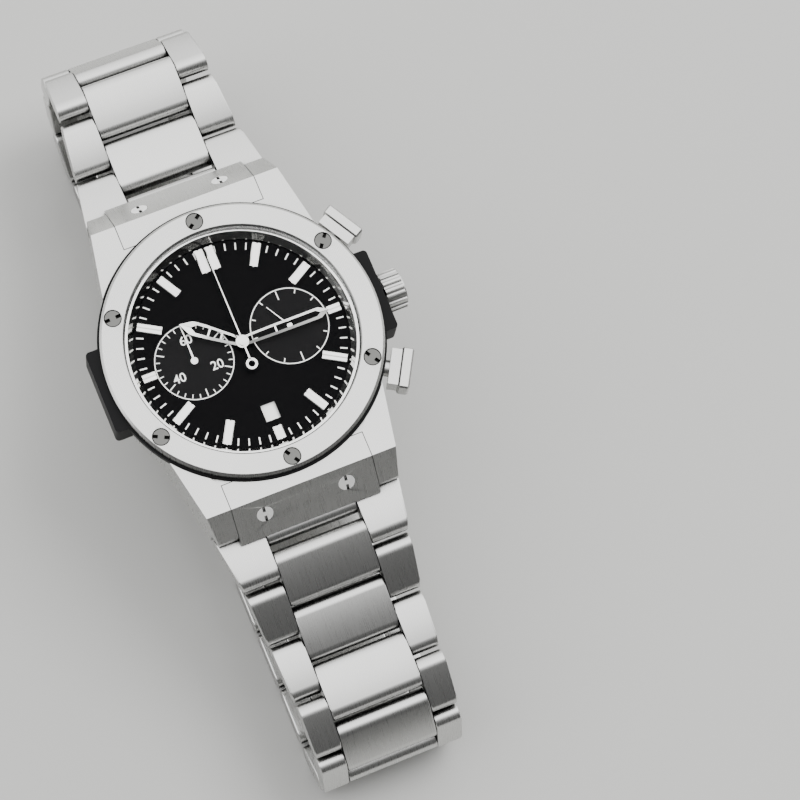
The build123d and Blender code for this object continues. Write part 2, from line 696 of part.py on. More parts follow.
with BuildPart() as crown:
    with BuildSketch(radial_plane(90, CROWN_X, CROWN_Z)):
        Circle(CROWN_R)
        with PolarLocations(CROWN_R + 0.1, CROWN_FLUTES):
            Circle(FLUTE_R, mode=Mode.SUBTRACT)
    extrude(amount=CROWN_LENGTH)
    with BuildSketch(radial_plane(90, CROWN_X + CROWN_LENGTH, CROWN_Z)):
        Circle(CROWN_R - FLUTE_R)
    extrude(amount=CROWN_BOSS)
    with BuildSketch(radial_plane(90, CROWN_X, CROWN_Z)):
        Circle(STEM_R + PIN_FIT)
    extrude(amount=CROWN_LENGTH / 2 + PIN_FIT, mode=Mode.SUBTRACT)
keep("crown", crown.part)

for pusher_name, clock in PUSHER_CLOCKS.items():
    with BuildPart() as pusher:
        with BuildSketch(radial_plane(clock, PUSHER_OUT_R - PUSHER_CAP, PUSHER_Z)):
            Rectangle(PUSHER_WIDTH, PUSHER_HEIGHT)
        extrude(amount=PUSHER_CAP)
        chamfer(pusher.edges().filter_by(GeomType.LINE), PUSHER_CHAMFER)
        with BuildSketch(radial_plane(clock, PUSHER_IN_R, PUSHER_Z)):
            Rectangle(PUSHER_BLOCK_WIDTH, PUSHER_HEIGHT - 2 * PUSHER_CHAMFER)
        extrude(amount=PUSHER_OUT_R - PUSHER_CAP / 2 - PUSHER_IN_R)
        with BuildSketch(radial_plane(clock, PUSHER_FOOT_R, PUSHER_Z)):
            Circle(PUSHER_NECK_R)
        extrude(amount=PUSHER_IN_R - PUSHER_FOOT_R)
    keep(pusher_name, pusher.part)

# ================================================================ caseback
BACK_TOP = CASE_BOTTOM
BACK_BOTTOM = BACK_TOP - BACK_THICK
with BuildPart() as caseback:
    with BuildSketch(at(BACK_BOTTOM)):
        Circle(BACK_R)
        Circle(BACK_GLASS_R + PIN_FIT, mode=Mode.SUBTRACT)
    extrude(amount=BACK_THICK)
    chamfer(caseback.edges().group_by(Axis.Z)[0].sort_by(SortBy.RADIUS)[-1], BACK_CHAMFER)
    # ledge that holds the glass from below
    with BuildSketch(at(BACK_TOP - BACK_GLASS_THICK)):
        Circle(BACK_GLASS_R + BACK_LEDGE / 2)
        Circle(BACK_GLASS_R - BACK_LEDGE, mode=Mode.SUBTRACT)
    extrude(amount=DOWN * (BACK_THICK - BACK_GLASS_THICK - BACK_LEDGE / 2))
    with BuildSketch(at(BACK_BOTTOM)):
        with Locations(*ring_places(BACK_SCREW_CIRCLE_R, [a + 30 for a in SCREW_ANGLES])):
            Circle(BACK_SCREW_R + SCREW_CLEAR)
    extrude(amount=BACK_THICK, mode=Mode.SUBTRACT)
keep("caseback", caseback.part)

with BuildPart() as caseback_glass:
    with BuildSketch(at(BACK_TOP)):
        Circle(BACK_GLASS_R)
    extrude(amount=DOWN * BACK_GLASS_THICK)
keep("caseback_glass", caseback_glass.part)

back_screw_plane = Plane(origin=(0, 0, DIAL_Z + BACK_BOTTOM + 0.2), x_dir=(1, 0, 0), z_dir=(0, 0, -1))
keep("caseback_screws", slotted_screws(ring_places(BACK_SCREW_CIRCLE_R, [a + 30 for a in SCREW_ANGLES]),
                                       BACK_SCREW_R, BACK_THICK / 2, BACK_SCREW_R - 0.2,
                                       BACK_THICK - 0.2 - RUN, back_screw_plane))

# ================================================================ end pieces
END_SCREW_X = 6.3
END_SCREW_Y = 24.5
END_SCREW_DEPTH = 0.7
END_SCREW_LENGTH = 3.6
facet_angle = atan2(LUG_TOP - FACET_END_Z, END_TIP_Y - FACET_START_Y)


def facet_plane(side):
    """Plane of the sloping facet at the screws' row, its normal outwards, X level."""
    return Plane(origin=(0, side * END_SCREW_Y, DIAL_Z + facet_z(END_SCREW_Y)), x_dir=(1, 0, 0),
                 z_dir=(0, side * sin(facet_angle), cos(facet_angle)))


def end_piece(side):
    """Piece between the lugs, with the tongue that carries the first outer links."""
    with BuildPart() as piece:
        with BuildSketch(Plane.YZ):
            with BuildLine():
                Polyline((side * END_BACK_Y, DIAL_Z + CASE_BOTTOM),
                         (side * NOTCH_Y, DIAL_Z + CASE_BOTTOM),
                         (side * NOTCH_Y, DIAL_Z + LUG_UNDER),
                         (side * END_TIP_Y, DIAL_Z + LUG_UNDER),
                         (side * END_TIP_Y, DIAL_Z + FACET_END_Z),
                         (side * FACET_START_Y, DIAL_Z + LUG_TOP),
                         (side * END_BACK_Y, DIAL_Z + LUG_TOP), close=True)
            make_face()
        extrude(amount=LUG_SPLIT_HALF, both=True)
        with BuildSketch(Plane.YZ):
            with Locations((side * LUG_PIN_Y, LUG_PIN_Z)):
                Circle(LINK_THICK / 2)
            with Locations((side * (NOTCH_Y + LUG_PIN_Y) / 2, LUG_PIN_Z + 0.4)):
                Rectangle(LUG_PIN_Y - NOTCH_Y, LINK_THICK - 0.8)
        extrude(amount=TONGUE_HALF, both=True)
        with BuildSketch(Plane.YZ):
            with Locations((side * LUG_PIN_Y, LUG_PIN_Z)):
                Circle(PIN_R + PIN_RUN)
        extrude(amount=LUG_SPLIT_HALF, both=True, mode=Mode.SUBTRACT)
        with BuildSketch(at(CASE_TOP)):
            Circle(RESIN_R + END_CLEAR)
        extrude(amount=LUG_TOP - CASE_TOP, mode=Mode.SUBTRACT)
        with BuildSketch(facet_plane(side)):
            with Locations((-END_SCREW_X, 0), (END_SCREW_X, 0)):
                Circle(SCREW_HEAD_R + SCREW_CLEAR)
        extrude(amount=DOWN * (END_SCREW_DEPTH + SCREW_CLEAR), mode=Mode.SUBTRACT)
        with BuildSketch(facet_plane(side)):
            with Locations((-END_SCREW_X, 0), (END_SCREW_X, 0)):
                Circle(SCREW_SHANK_R + SCREW_CLEAR)
        extrude(amount=DOWN * (END_SCREW_LENGTH + SCREW_CLEAR), mode=Mode.SUBTRACT)
    return piece.part


keep("end_piece_12", end_piece(1))
keep("end_piece_6", end_piece(-1))

with BuildPart() as end_piece_screws:
    for side in (1, -1):
        add(slotted_screws([(-END_SCREW_X, 0), (END_SCREW_X, 0)], SCREW_HEAD_R, END_SCREW_DEPTH,
                           SCREW_SHANK_R, END_SCREW_LENGTH, facet_plane(side)))
keep("end_piece_screws", end_piece_screws.part)

# ================================================================ clasp
last_6 = HALVES["6"]["pins"][-1]
last_12 = HALVES["12"]["pins"][-1]
end_reach = HALF_PITCH / 2 - LINK_GAP / 2
COVER_START_Y = last_6[0] + end_reach + CLASP_END_GAP
COVER_END_Y = last_12[0] - end_reach - CLASP_END_GAP
COVER_PIN_Y = COVER_START_Y + COVER_BARREL_R + 0.4
FOLD_PIN_Y = COVER_END_Y - FOLD_BARREL_R - 1.0
knuckle = BLADE_HALF / 3

with BuildPart() as clasp_inner_blade:
    with BuildSketch(Plane.YZ):
        with BuildLine():
            low, high = INNER_BLADE_Z - BLADE_THICK / 2, INNER_BLADE_Z + BLADE_THICK / 2
            Polyline((last_6[0], 0), (last_6[0] + LINK_THICK / 2, LINK_THICK / 2),
                     (COVER_PIN_Y - COVER_BARREL_R, low), (FOLD_PIN_Y, low), (FOLD_PIN_Y, high),
                     (last_6[0] + LINK_THICK / 2, high), (last_6[0], LINK_THICK), close=True)
        make_face()
        with Locations(last_6):
            Circle(LINK_THICK / 2)
        with Locations((FOLD_PIN_Y, FOLD_PIN_Z)):
            Circle(FOLD_BARREL_R)
        with Locations(last_6):
            Circle(PIN_R + PIN_RUN, mode=Mode.SUBTRACT)
    extrude(amount=TONGUE_HALF, both=True)
    # room for the middle blade's knuckle
    with BuildSketch(Plane.XY):
        with Locations((0, FOLD_PIN_Y)):
            Rectangle(2 * (knuckle + SIDE_CLEAR), 2 * (FOLD_BARREL_R + 0.15))
    extrude(amount=2 * INNER_BLADE_Z, mode=Mode.SUBTRACT)
    with BuildSketch(Plane.YZ):
        with Locations((FOLD_PIN_Y, FOLD_PIN_Z)):
            Circle(PIN_R)
    extrude(amount=TONGUE_HALF - 0.5, both=True)
keep("clasp_inner_blade", clasp_inner_blade.part)

with BuildPart() as clasp_middle_blade:
    with BuildSketch(Plane.YZ):
        with Locations((FOLD_PIN_Y, FOLD_PIN_Z)):
            Circle(FOLD_BARREL_R)
            Circle(PIN_R + PIN_RUN, mode=Mode.SUBTRACT)
    extrude(amount=knuckle, both=True)
    with BuildSketch(Plane.YZ):
        with BuildLine():
            low, high = MIDDLE_BLADE_Z - BLADE_THICK / 2, MIDDLE_BLADE_Z + BLADE_THICK / 2
            clear_y = FOLD_PIN_Y - FOLD_BARREL_R - 0.2
            Polyline((COVER_PIN_Y, low), (clear_y, low), (clear_y, high), (COVER_PIN_Y, high),
                     close=True)
        make_face()
        with Locations((COVER_PIN_Y, MIDDLE_BLADE_Z)):
            Circle(COVER_BARREL_R)
            Circle(PIN_R + PIN_RUN, mode=Mode.SUBTRACT)
    extrude(amount=BLADE_HALF - 0.3, both=True)
    with BuildSketch(at(MIDDLE_BLADE_Z - BLADE_THICK / 2 - DIAL_Z)):
        with Locations((0, FOLD_PIN_Y - FOLD_BARREL_R)):
            Rectangle(2 * knuckle, 2 * (FOLD_BARREL_R - PIN_R - 0.1))
    extrude(amount=BLADE_THICK)
keep("clasp_middle_blade", clasp_middle_blade.part)

with BuildPart() as clasp_cover:
    with BuildSketch(Plane.XY):
        with Locations((0, (COVER_START_Y + COVER_END_Y) / 2)):
            Rectangle(2 * CLASP_HALF, COVER_END_Y - COVER_START_Y)
    extrude(amount=COVER_THICK)
    with BuildSketch(Plane.XY):
        for side in (1, -1):
            with Locations((side * (CLASP_HALF - COVER_WALL / 2), (COVER_START_Y + COVER_END_Y) / 2)):
                Rectangle(COVER_WALL, COVER_END_Y - COVER_START_Y)
            with Locations((side * (BLADE_HALF + CLASP_HALF) / 2, COVER_PIN_Y)):
                Rectangle(CLASP_HALF - BLADE_HALF, 2 * COVER_BARREL_R)
    extrude(amount=COVER_WALL_TOP)
    with BuildSketch(Plane.YZ):
        with Locations((COVER_PIN_Y, MIDDLE_BLADE_Z)):
            Circle(PIN_R)
    extrude(amount=CLASP_HALF - 0.5, both=True)
    # push buttons stand out of both walls
    with BuildSketch(Plane.YZ.offset(-CLASP_HALF - 0.5)):
        with Locations((0.3 * COVER_END_Y + 0.7 * COVER_START_Y + 6, COVER_WALL_TOP / 2)):
            Circle(BUTTON_R)
    extrude(amount=0.5)
    with BuildSketch(Plane.YZ.offset(CLASP_HALF)):
        with Locations((0.3 * COVER_END_Y + 0.7 * COVER_START_Y + 6, COVER_WALL_TOP / 2)):
            Circle(BUTTON_R)
    extrude(amount=0.5)
keep("clasp_cover", clasp_cover.part)

print(len(NODES), "nodes, dial at", round(DIAL_Z, 2))
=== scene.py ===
"""Finish and fine detail of a steel chronograph wristwatch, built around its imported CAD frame."""

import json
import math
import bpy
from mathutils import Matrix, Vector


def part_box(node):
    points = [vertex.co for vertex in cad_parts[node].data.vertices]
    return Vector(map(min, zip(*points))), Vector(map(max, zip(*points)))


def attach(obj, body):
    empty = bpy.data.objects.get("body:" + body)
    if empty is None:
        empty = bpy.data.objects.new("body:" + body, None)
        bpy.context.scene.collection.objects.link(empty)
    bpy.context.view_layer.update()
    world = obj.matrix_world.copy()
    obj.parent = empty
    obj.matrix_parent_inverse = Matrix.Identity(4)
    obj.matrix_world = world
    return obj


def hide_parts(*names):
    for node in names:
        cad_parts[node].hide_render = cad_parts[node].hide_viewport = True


bl_info = {
    "name": "Chronograph Wristwatch",
    "version": (1, 0, 0),
    "blender": (4, 5, 0),
    "location": "View3D > Sidebar > Watch",
    "description": "Builds the watch head, dial, hands and link bracelet around a CAD frame",
    "category": "Object",
}

from types import SimpleNamespace

import bmesh
import bpy
from bpy.props import FloatProperty, PointerProperty, StringProperty
from mathutils import Matrix, Vector

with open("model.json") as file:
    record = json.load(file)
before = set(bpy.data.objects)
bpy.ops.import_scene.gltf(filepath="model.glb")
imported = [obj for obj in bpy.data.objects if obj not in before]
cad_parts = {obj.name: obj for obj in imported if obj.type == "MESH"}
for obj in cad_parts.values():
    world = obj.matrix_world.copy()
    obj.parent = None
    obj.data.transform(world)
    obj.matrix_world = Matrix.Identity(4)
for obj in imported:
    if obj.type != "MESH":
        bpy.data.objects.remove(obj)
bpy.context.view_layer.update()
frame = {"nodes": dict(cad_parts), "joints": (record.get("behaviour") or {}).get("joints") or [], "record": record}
JOINTS = {joint["name"]: joint for joint in frame["joints"]}
MM = 0.001
DIAL_Z = JOINTS["minute_turn"]["pos_m"][2] / MM         # millimetres, as all sizes below
SUBDIAL_X = JOINTS["counter_turn"]["pos_m"][0] / MM
PAINTED_SHADE_REACH = 3.6         # how near a neighbour has to be for the painted shade that darkens a gap
GRAIN_STRETCH = 45          # length of a brush scratch over its width
PRINT_THICK = 0.03          # ink and thin strokes on the dial
SLANT_FROM = 1.2            # how far into an outer link its slanted outer side begins


def box_mm(node):
    """Lowest and highest corner of a CAD node in millimetres."""
    low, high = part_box(node)
    return low / MM, high / MM


# ---------------------------------------------------------------- sizes and colours
def length(name, millimetres, description):
    """Property for a length, given in millimetres and kept in metres."""
    return FloatProperty(name=name, description=description, default=millimetres * MM,
                         unit="LENGTH", precision=5)


def angle(name, degrees, description):
    """Property for an angle, given in degrees and kept in radians."""
    return FloatProperty(name=name, description=description, default=math.radians(degrees),
                         subtype="ANGLE")


def colour(name, code, description):
    """Property for a colour as an sRGB hex value."""
    return StringProperty(name=name, description=description, default=code)


class HeadSizes(bpy.types.PropertyGroup):
    """Sizes on the watch head."""
    marker_outer: length("Marker outer radius", 15.3, "Radius that the hour markers reach")
    marker_long: length("Marker length", 3.6, "Long hour marker")
    marker_short: length("Short marker length", 2.0, "Hour marker at 3, 6 and 9")
    marker_width: length("Marker width", 1.35, "Across one bar")
    tick_outer: length("Minute tick outer radius", 15.25, "Radius that the minute ticks reach")
    tick_length: length("Minute tick length", 1.05, "Length of a printed minute tick")
    tick_width: length("Minute tick width", 0.2, "Width of a printed minute tick")
    ring_radius: length("Sub-dial ring radius", 5.7, "Printed ring round each sub-dial")


class BraceletSizes(bpy.types.PropertyGroup):
    """Sizes of the bracelet links."""
    thickness: length("Link thickness", 3.2, "Thickness of a link")
    length: length("Link length", 8.6, "Overall length of a link")
    half_pitch: length("Half pitch", 4.5, "From pin to pin")
    centre_width: length("Centre link width", 14.0, "Width of a centre link")
    side_clear: length("Side clearance", 0.12, "Between a centre link and an outer link")
    end_half: length("Narrow half width", 10.7, "Half width of the bracelet far from the case")
    flare: length("Flare", 3.0, "Extra half width at the case")
    flare_steps: FloatProperty(name="Flare length", default=3.5,
                               description="Pins over which the flare fades")
    edge: length("Edge rounding", 0.22, "Rounding of link edges")


class Finishes(bpy.types.PropertyGroup):
    """Colours of the watch."""
    steel: colour("Satin steel", "#c9c9c7", "Brushed steel")
    polished: colour("Polished steel", "#e6e6e4", "Hands and markers")
    screw: colour("Screw steel", "#646462", "Screw heads")
    resin: colour("Resin", "#060607", "Black composite insert")
    dial: colour("Dial", "#020203", "Lacquered dial")
    subdial: colour("Sub-dial", "#060607", "Recessed sub-dials")
    print_white: colour("Print", "#f2f2ef", "Dial printing")
    gilt: colour("Gilt brass", "#b89a56", "Movement wheels")
    floor: colour("Floor", "#a6a6a4", "Studio floor")


class StageSettings(bpy.types.PropertyGroup):
    """Camera."""
    azimuth: angle("Azimuth", -39.707, "Direction of the camera round the watch")
    elevation: angle("Elevation", 74.046, "Height of the camera over the floor")
    roll: angle("Roll", 17.667, "Turn about the view axis")
    distance: length("Distance", 449.75, "Camera to aim point")
    lens: FloatProperty(name="Lens", default=140.37, unit="CAMERA", description="Focal length")
    aim_x: length("Aim X", 18.014, "Aim point to the right of the arbor")
    aim_y: length("Aim Y", -16.154, "Aim point towards 12 o'clock from the arbor")


SETTINGS = {"watch_head": HeadSizes, "watch_bracelet": BraceletSizes,
            "watch_finish": Finishes, "watch_stage": StageSettings}


def settings(kind):
    """The scene's settings of one kind, with their lengths in millimetres."""
    group = getattr(bpy.context.scene, kind)
    values = {key: getattr(group, key) for key in SETTINGS[kind].__annotations__}
    for key in values:
        if group.bl_rna.properties[key].unit == "LENGTH":
            values[key] /= MM
    return SimpleNamespace(**values)


# ---------------------------------------------------------------- materials
def linear(code):
    """Linear RGBA from an sRGB hex colour."""
    channels = [int(code[i:i + 2], 16) / 255 for i in (1, 3, 5)]
    return [c / 12.92 if c <= 0.04045 else ((c + 0.055) / 1.055) ** 2.4 for c in channels] + [1.0]


def add_node(tree, kind, inputs=(), **traits):
    """Adds a node. Traits are its own settings; an input is a socket to link or a plain value."""
    node = tree.nodes.new(kind)
    for key, value in traits.items():
        setattr(node, key, value)
    for key, value in dict(inputs).items():
        if isinstance(value, bpy.types.NodeSocket):
            tree.links.new(value, node.inputs[key])
        else:
            node.inputs[key].default_value = value
    return node


def start_material(name):
    """Material with an empty node tree."""
    material = bpy.data.materials.new(name)
    material.use_nodes = True
    material.node_tree.nodes.clear()
    return material, material.node_tree


def shaded_material(name, uniform):
    """Material whose shader holds the values that are the same all over the surface."""
    material, tree = start_material(name)
    shader = add_node(tree, "ShaderNodeBsdfPrincipled", uniform)
    add_node(tree, "ShaderNodeOutputMaterial", {"Surface": shader.outputs[0]})
    return material, tree, shader


def object_pattern(tree, *per_mm):
    """Object coordinates in cells per millimetre: one number for all axes, or one for each."""
    scale = [cells / MM for cells in (per_mm if len(per_mm) == 3 else per_mm * 3)]
    place = add_node(tree, "ShaderNodeTexCoord")
    return add_node(tree, "ShaderNodeMapping", {"Vector": place.outputs["Object"],
                                                "Scale": scale}).outputs[0]


def pebbled(tree, shader, per_mm, detail, strength, height_mm):
    """Gives a shader a fine pebbled relief."""
    pits = add_node(tree, "ShaderNodeTexNoise", {"Vector": object_pattern(tree, per_mm),
                                                 "Scale": 1.0, "Detail": detail})
    bump = add_node(tree, "ShaderNodeBump", {"Height": pits.outputs[0], "Strength": strength,
                                             "Distance": height_mm * MM})
    tree.links.new(bump.outputs[0], shader.inputs["Normal"])


def hazed(tree, shader, per_mm, detail, low, high):
    """Lets a shader's roughness wander between two levels."""
    marks = add_node(tree, "ShaderNodeTexNoise", {"Vector": object_pattern(tree, per_mm),
                                                  "Scale": 1.0, "Detail": detail})
    rough = add_node(tree, "ShaderNodeMapRange", {"Value": marks.outputs[0], "To Min": low,
                                                  "To Max": high})
    tree.links.new(rough.outputs[0], shader.inputs["Roughness"])


def painted_gap_shade(tree, base):
    """Painted shade: colour that falls off to black inside slots and between close pieces."""
    crevice = add_node(tree, "ShaderNodeAmbientOcclusion", {"Distance": PAINTED_SHADE_REACH * MM},
                       samples=6)
    openness = add_node(tree, "ShaderNodeMapRange", {
        "Value": crevice.outputs["AO"], "From Min": 0.3, "From Max": 0.7, "To Min": 0.01})
    shade = add_node(tree, "ShaderNodeMix", {"Factor": 1.0, "A": base, "B": openness.outputs[0]},
                     data_type="RGBA", blend_type="MULTIPLY")
    return shade.outputs["Result"]


def steel_material(name, code, roughness=0.27, scratch_mm=0.09, relief=0.25, along="Y", shade_gaps=True):
    """Brushed steel: 316L drawn over a belt, so the grain is long fine scratches one way.
    Real scratches are about a third as wide; these are as coarse as they need to be to show."""
    material, tree, shader = shaded_material(name, {"Metallic": 1.0})
    fine = 1 / scratch_mm
    coarse = fine / GRAIN_STRETCH
    cells = (fine, coarse, coarse) if along == "Y" else (coarse, fine, fine)
    grain = add_node(tree, "ShaderNodeTexNoise", {"Vector": object_pattern(tree, *cells),
                                                  "Scale": 1.0, "Detail": 3.0, "Roughness": 0.65})
    cloud = add_node(tree, "ShaderNodeTexNoise",       # uneven pressure, patches of 4.5 mm
                     {"Vector": object_pattern(tree, 0.22), "Scale": 1.0, "Detail": 2.0})
    base = linear(code)
    patchy = add_node(tree, "ShaderNodeMix", {
        "Factor": cloud.outputs[0], "A": [c * 0.95 for c in base[:3]] + [1], "B": base},
        data_type="RGBA")
    tone = add_node(tree, "ShaderNodeMapRange", {"Value": grain.outputs[0], "To Min": 0.92,
                                                 "To Max": 1.05})
    scratched = add_node(tree, "ShaderNodeMix", {
        "Factor": 0.55, "A": patchy.outputs["Result"], "B": tone.outputs[0]},
        data_type="RGBA", blend_type="MULTIPLY").outputs["Result"]
    rough = add_node(tree, "ShaderNodeMapRange", {
        "Value": grain.outputs[0], "To Min": roughness - 0.06, "To Max": roughness + 0.09})
    bump = add_node(tree, "ShaderNodeBump", {"Height": grain.outputs[0], "Strength": relief,
                                             "Distance": 0.02 * MM})
    # painted shade: the colour is darkened in gaps and slots by ambient occlusion
    gap_shaded = painted_gap_shade(tree, scratched) if shade_gaps else scratched
    tree.links.new(gap_shaded, shader.inputs["Base Color"])
    tree.links.new(rough.outputs[0], shader.inputs["Roughness"])
    tree.links.new(bump.outputs[0], shader.inputs["Normal"])
    return material


def polished_material(name, code, roughness):
    """Polished steel: lapped bright, with a haze of hairline marks 0.4 mm apart."""
    material, tree, shader = shaded_material(name, {"Base Color": linear(code), "Metallic": 1.0})
    hazed(tree, shader, 2.5, 4.0, roughness * 0.6, roughness * 1.6)
    return material


def blasted_material(name, code):
    """Bead-blasted steel of the small screw heads: pale and nearly matt, with pits of 0.14 mm,
    and painted shade darkening the slots."""
    material, tree, shader = shaded_material(name, {"Metallic": 0.45, "Roughness": 0.5})
    pebbled(tree, shader, 7, 3.0, 0.3, 0.02)
    # painted shade: the colour is darkened in the slots by ambient occlusion
    tree.links.new(painted_gap_shade(tree, linear(code)), shader.inputs["Base Color"])
    return material


def resin_material(name, code):
    """Glass-filled resin, moulded matt: a skin with pebbles of 0.17 mm."""
    material, tree, shader = shaded_material(name, {
        "Base Color": linear(code), "Roughness": 0.5, "Specular IOR Level": 0.12})
    pebbled(tree, shader, 6, 2.0, 0.25, 0.03)
    return material


def lacquer_material(name, code, roughness):
    """Black lacquer over a brass dial: deep and smooth with a soft gloss, dust under 0.12 mm."""
    material, tree, shader = shaded_material(name, {
        "Base Color": linear(code), "Specular IOR Level": 0.04})
    hazed(tree, shader, 9, 2.0, roughness * 0.8, roughness * 1.25)
    return material


def ringed_material(name, code, centre_x):
    """Sub-dial metal cut with fine concentric rings about its centre, then blackened."""
    material, tree, shader = shaded_material(name, {
        "Base Color": linear(code), "Roughness": 0.45, "Specular IOR Level": 0.1})
    place = add_node(tree, "ShaderNodeTexCoord")
    mapping = add_node(tree, "ShaderNodeMapping", {"Vector": place.outputs["Object"],
                                                   "Location": (-centre_x * MM, 0, 0)})
    split = add_node(tree, "ShaderNodeSeparateXYZ", {"Vector": mapping.outputs[0]})
    flat = add_node(tree, "ShaderNodeCombineXYZ", {"X": split.outputs[0], "Y": split.outputs[1]})
    reach = add_node(tree, "ShaderNodeVectorMath", {0: flat.outputs[0]}, operation="LENGTH")
    ring_pitch = 0.16 * MM                       # real rings are finer than the render shows
    turns = add_node(tree, "ShaderNodeMath", {0: reach.outputs["Value"],
                                              1: 2 * math.pi / ring_pitch}, operation="MULTIPLY")
    wave = add_node(tree, "ShaderNodeMath", {0: turns.outputs[0]}, operation="SINE")
    bump = add_node(tree, "ShaderNodeBump", {"Height": wave.outputs[0], "Strength": 0.3,
                                             "Distance": 0.02 * MM})
    tree.links.new(bump.outputs[0], shader.inputs["Normal"])
    return material


def print_material(name, code):
    """White pad-printed ink and painted date disc: matt, with a grain of 0.08 mm."""
    material, tree, shader = shaded_material(name, {"Base Color": linear(code), "Roughness": 0.55})
    pebbled(tree, shader, 12, 2.0, 0.15, 0.01)
    return material


def sapphire_material(name):
    """Sapphire with an anti-reflective coat: nearly unseen, glossy only at a glancing angle."""
    material, tree = start_material(name)
    clear = add_node(tree, "ShaderNodeBsdfTransparent")
    gloss = add_node(tree, "ShaderNodeBsdfGlossy", {"Roughness": 0.02})
    facing = add_node(tree, "ShaderNodeLayerWeight", {"Blend": 0.5})
    glancing = add_node(tree, "ShaderNodeMath", {0: facing.outputs["Facing"], 1: 5.0},
                        operation="POWER")
    coated = add_node(tree, "ShaderNodeMath", {0: glancing.outputs[0], 1: 0.45},
                      operation="MULTIPLY")
    mix = add_node(tree, "ShaderNodeMixShader", {0: coated.outputs[0], 1: clear.outputs[0],
                                                 2: gloss.outputs[0]})
    add_node(tree, "ShaderNodeOutputMaterial", {"Surface": mix.outputs[0]})
    return material


def floor_material(name, code):
    """Plain paper sweep."""
    return shaded_material(name, {"Base Color": linear(code), "Roughness": 0.85})[0]


MATERIALS = {}


class WATCH_OT_finishes(bpy.types.Operator):
    """Steel, resin, lacquer, print and sapphire finishes"""
    bl_idname = "watch.finishes"
    bl_label = "Finishes"

    def execute(self, context):
        finish = settings("watch_finish")
        MATERIALS.update({
            "steel": steel_material("satin_316l_steel", finish.steel),
            "steel_cross": steel_material("cross_brushed_steel", finish.steel, along="X"),
            "steel_open": steel_material("satin_pusher_steel", finish.steel, shade_gaps=False),
            "screw": steel_material("turned_screw_steel", finish.screw, 0.3, 0.3, 0.6),
            "polished": polished_material("polished_steel", finish.polished, 0.1),
            "blasted": blasted_material("blasted_screw_steel", finish.polished),
            "resin": resin_material("moulded_black_resin", finish.resin),
            "dial": lacquer_material("black_dial_lacquer", finish.dial, 0.3),
            "subdial_left": ringed_material("ringed_subdial_left", finish.subdial, -SUBDIAL_X),
            "subdial_right": ringed_material("ringed_subdial_right", finish.subdial, SUBDIAL_X),
            "print": print_material("white_dial_print", finish.print_white),
            "gilt": polished_material("gilt_brass", finish.gilt, 0.22),
            "sapphire": sapphire_material("coated_sapphire"),
            "floor": floor_material("paper_floor", finish.floor),
        })
        return {"FINISHED"}


# ---------------------------------------------------------------- meshes
def to_mesh(name, bm, scale=MM):
    """Mesh in metres from a bmesh built in millimetres; the bmesh is freed."""
    bmesh.ops.scale(bm, vec=(scale, scale, scale), verts=bm.verts)
    mesh = bpy.data.meshes.new(name)
    bm.to_mesh(mesh)
    bm.free()
    return mesh


def evaluated_mesh(item):
    """Plain mesh of an object with its modifiers, or of a text object."""
    depsgraph = bpy.context.evaluated_depsgraph_get()
    return bpy.data.meshes.new_from_object(item.evaluated_get(depsgraph))


def shown(name, mesh, material, smooth_degrees=30):
    """Links a mesh to the scene with its material; edges over the angle stay sharp."""
    mesh.materials.clear()
    mesh.materials.append(material)
    mesh.shade_smooth()
    mesh.set_sharp_from_angle(angle=math.radians(smooth_degrees))
    piece = bpy.data.objects.new(name, mesh)
    bpy.context.scene.collection.objects.link(piece)
    return piece


def circle(radius, count, centre_y=0.0):
    """Points (x, y) round a circle."""
    return [(radius * math.cos(2 * math.pi * i / count),
             centre_y + radius * math.sin(2 * math.pi * i / count)) for i in range(count)]


def bridge(bm, here, there):
    """Joins two closed rows of vertices by a band of faces."""
    for i in range(len(here)):
        j = (i + 1) % len(here)
        bm.faces.new((here[i], here[j], there[j], there[i]))


def prism(bm, outline, low, high, matrix=None):
    """Adds a closed prism over an outline of (x, y) points between two heights."""
    bottom = [bm.verts.new((x, y, low)) for x, y in outline]
    top = [bm.verts.new((x, y, high)) for x, y in outline]
    bm.faces.new(list(reversed(bottom)))
    bm.faces.new(top)
    bridge(bm, bottom, top)
    if matrix is not None:
        bmesh.ops.transform(bm, matrix=matrix, verts=bottom + top)


def lathe(name, profile, material, steps=192, centre_x=0.0):
    """Solid of revolution about a vertical axis from a closed (radius, z) profile."""
    bm = bmesh.new()
    rings = []
    for step in range(steps):
        a = 2 * math.pi * step / steps
        rings.append([bm.verts.new((centre_x + r * math.cos(a), r * math.sin(a), z))
                      for r, z in profile])
    for step in range(steps):
        bridge(bm, rings[(step + 1) % steps], rings[step])
    bmesh.ops.remove_doubles(bm, verts=bm.verts, dist=1e-6)
    bmesh.ops.recalc_face_normals(bm, faces=bm.faces)
    return shown(name, to_mesh(name, bm), material)


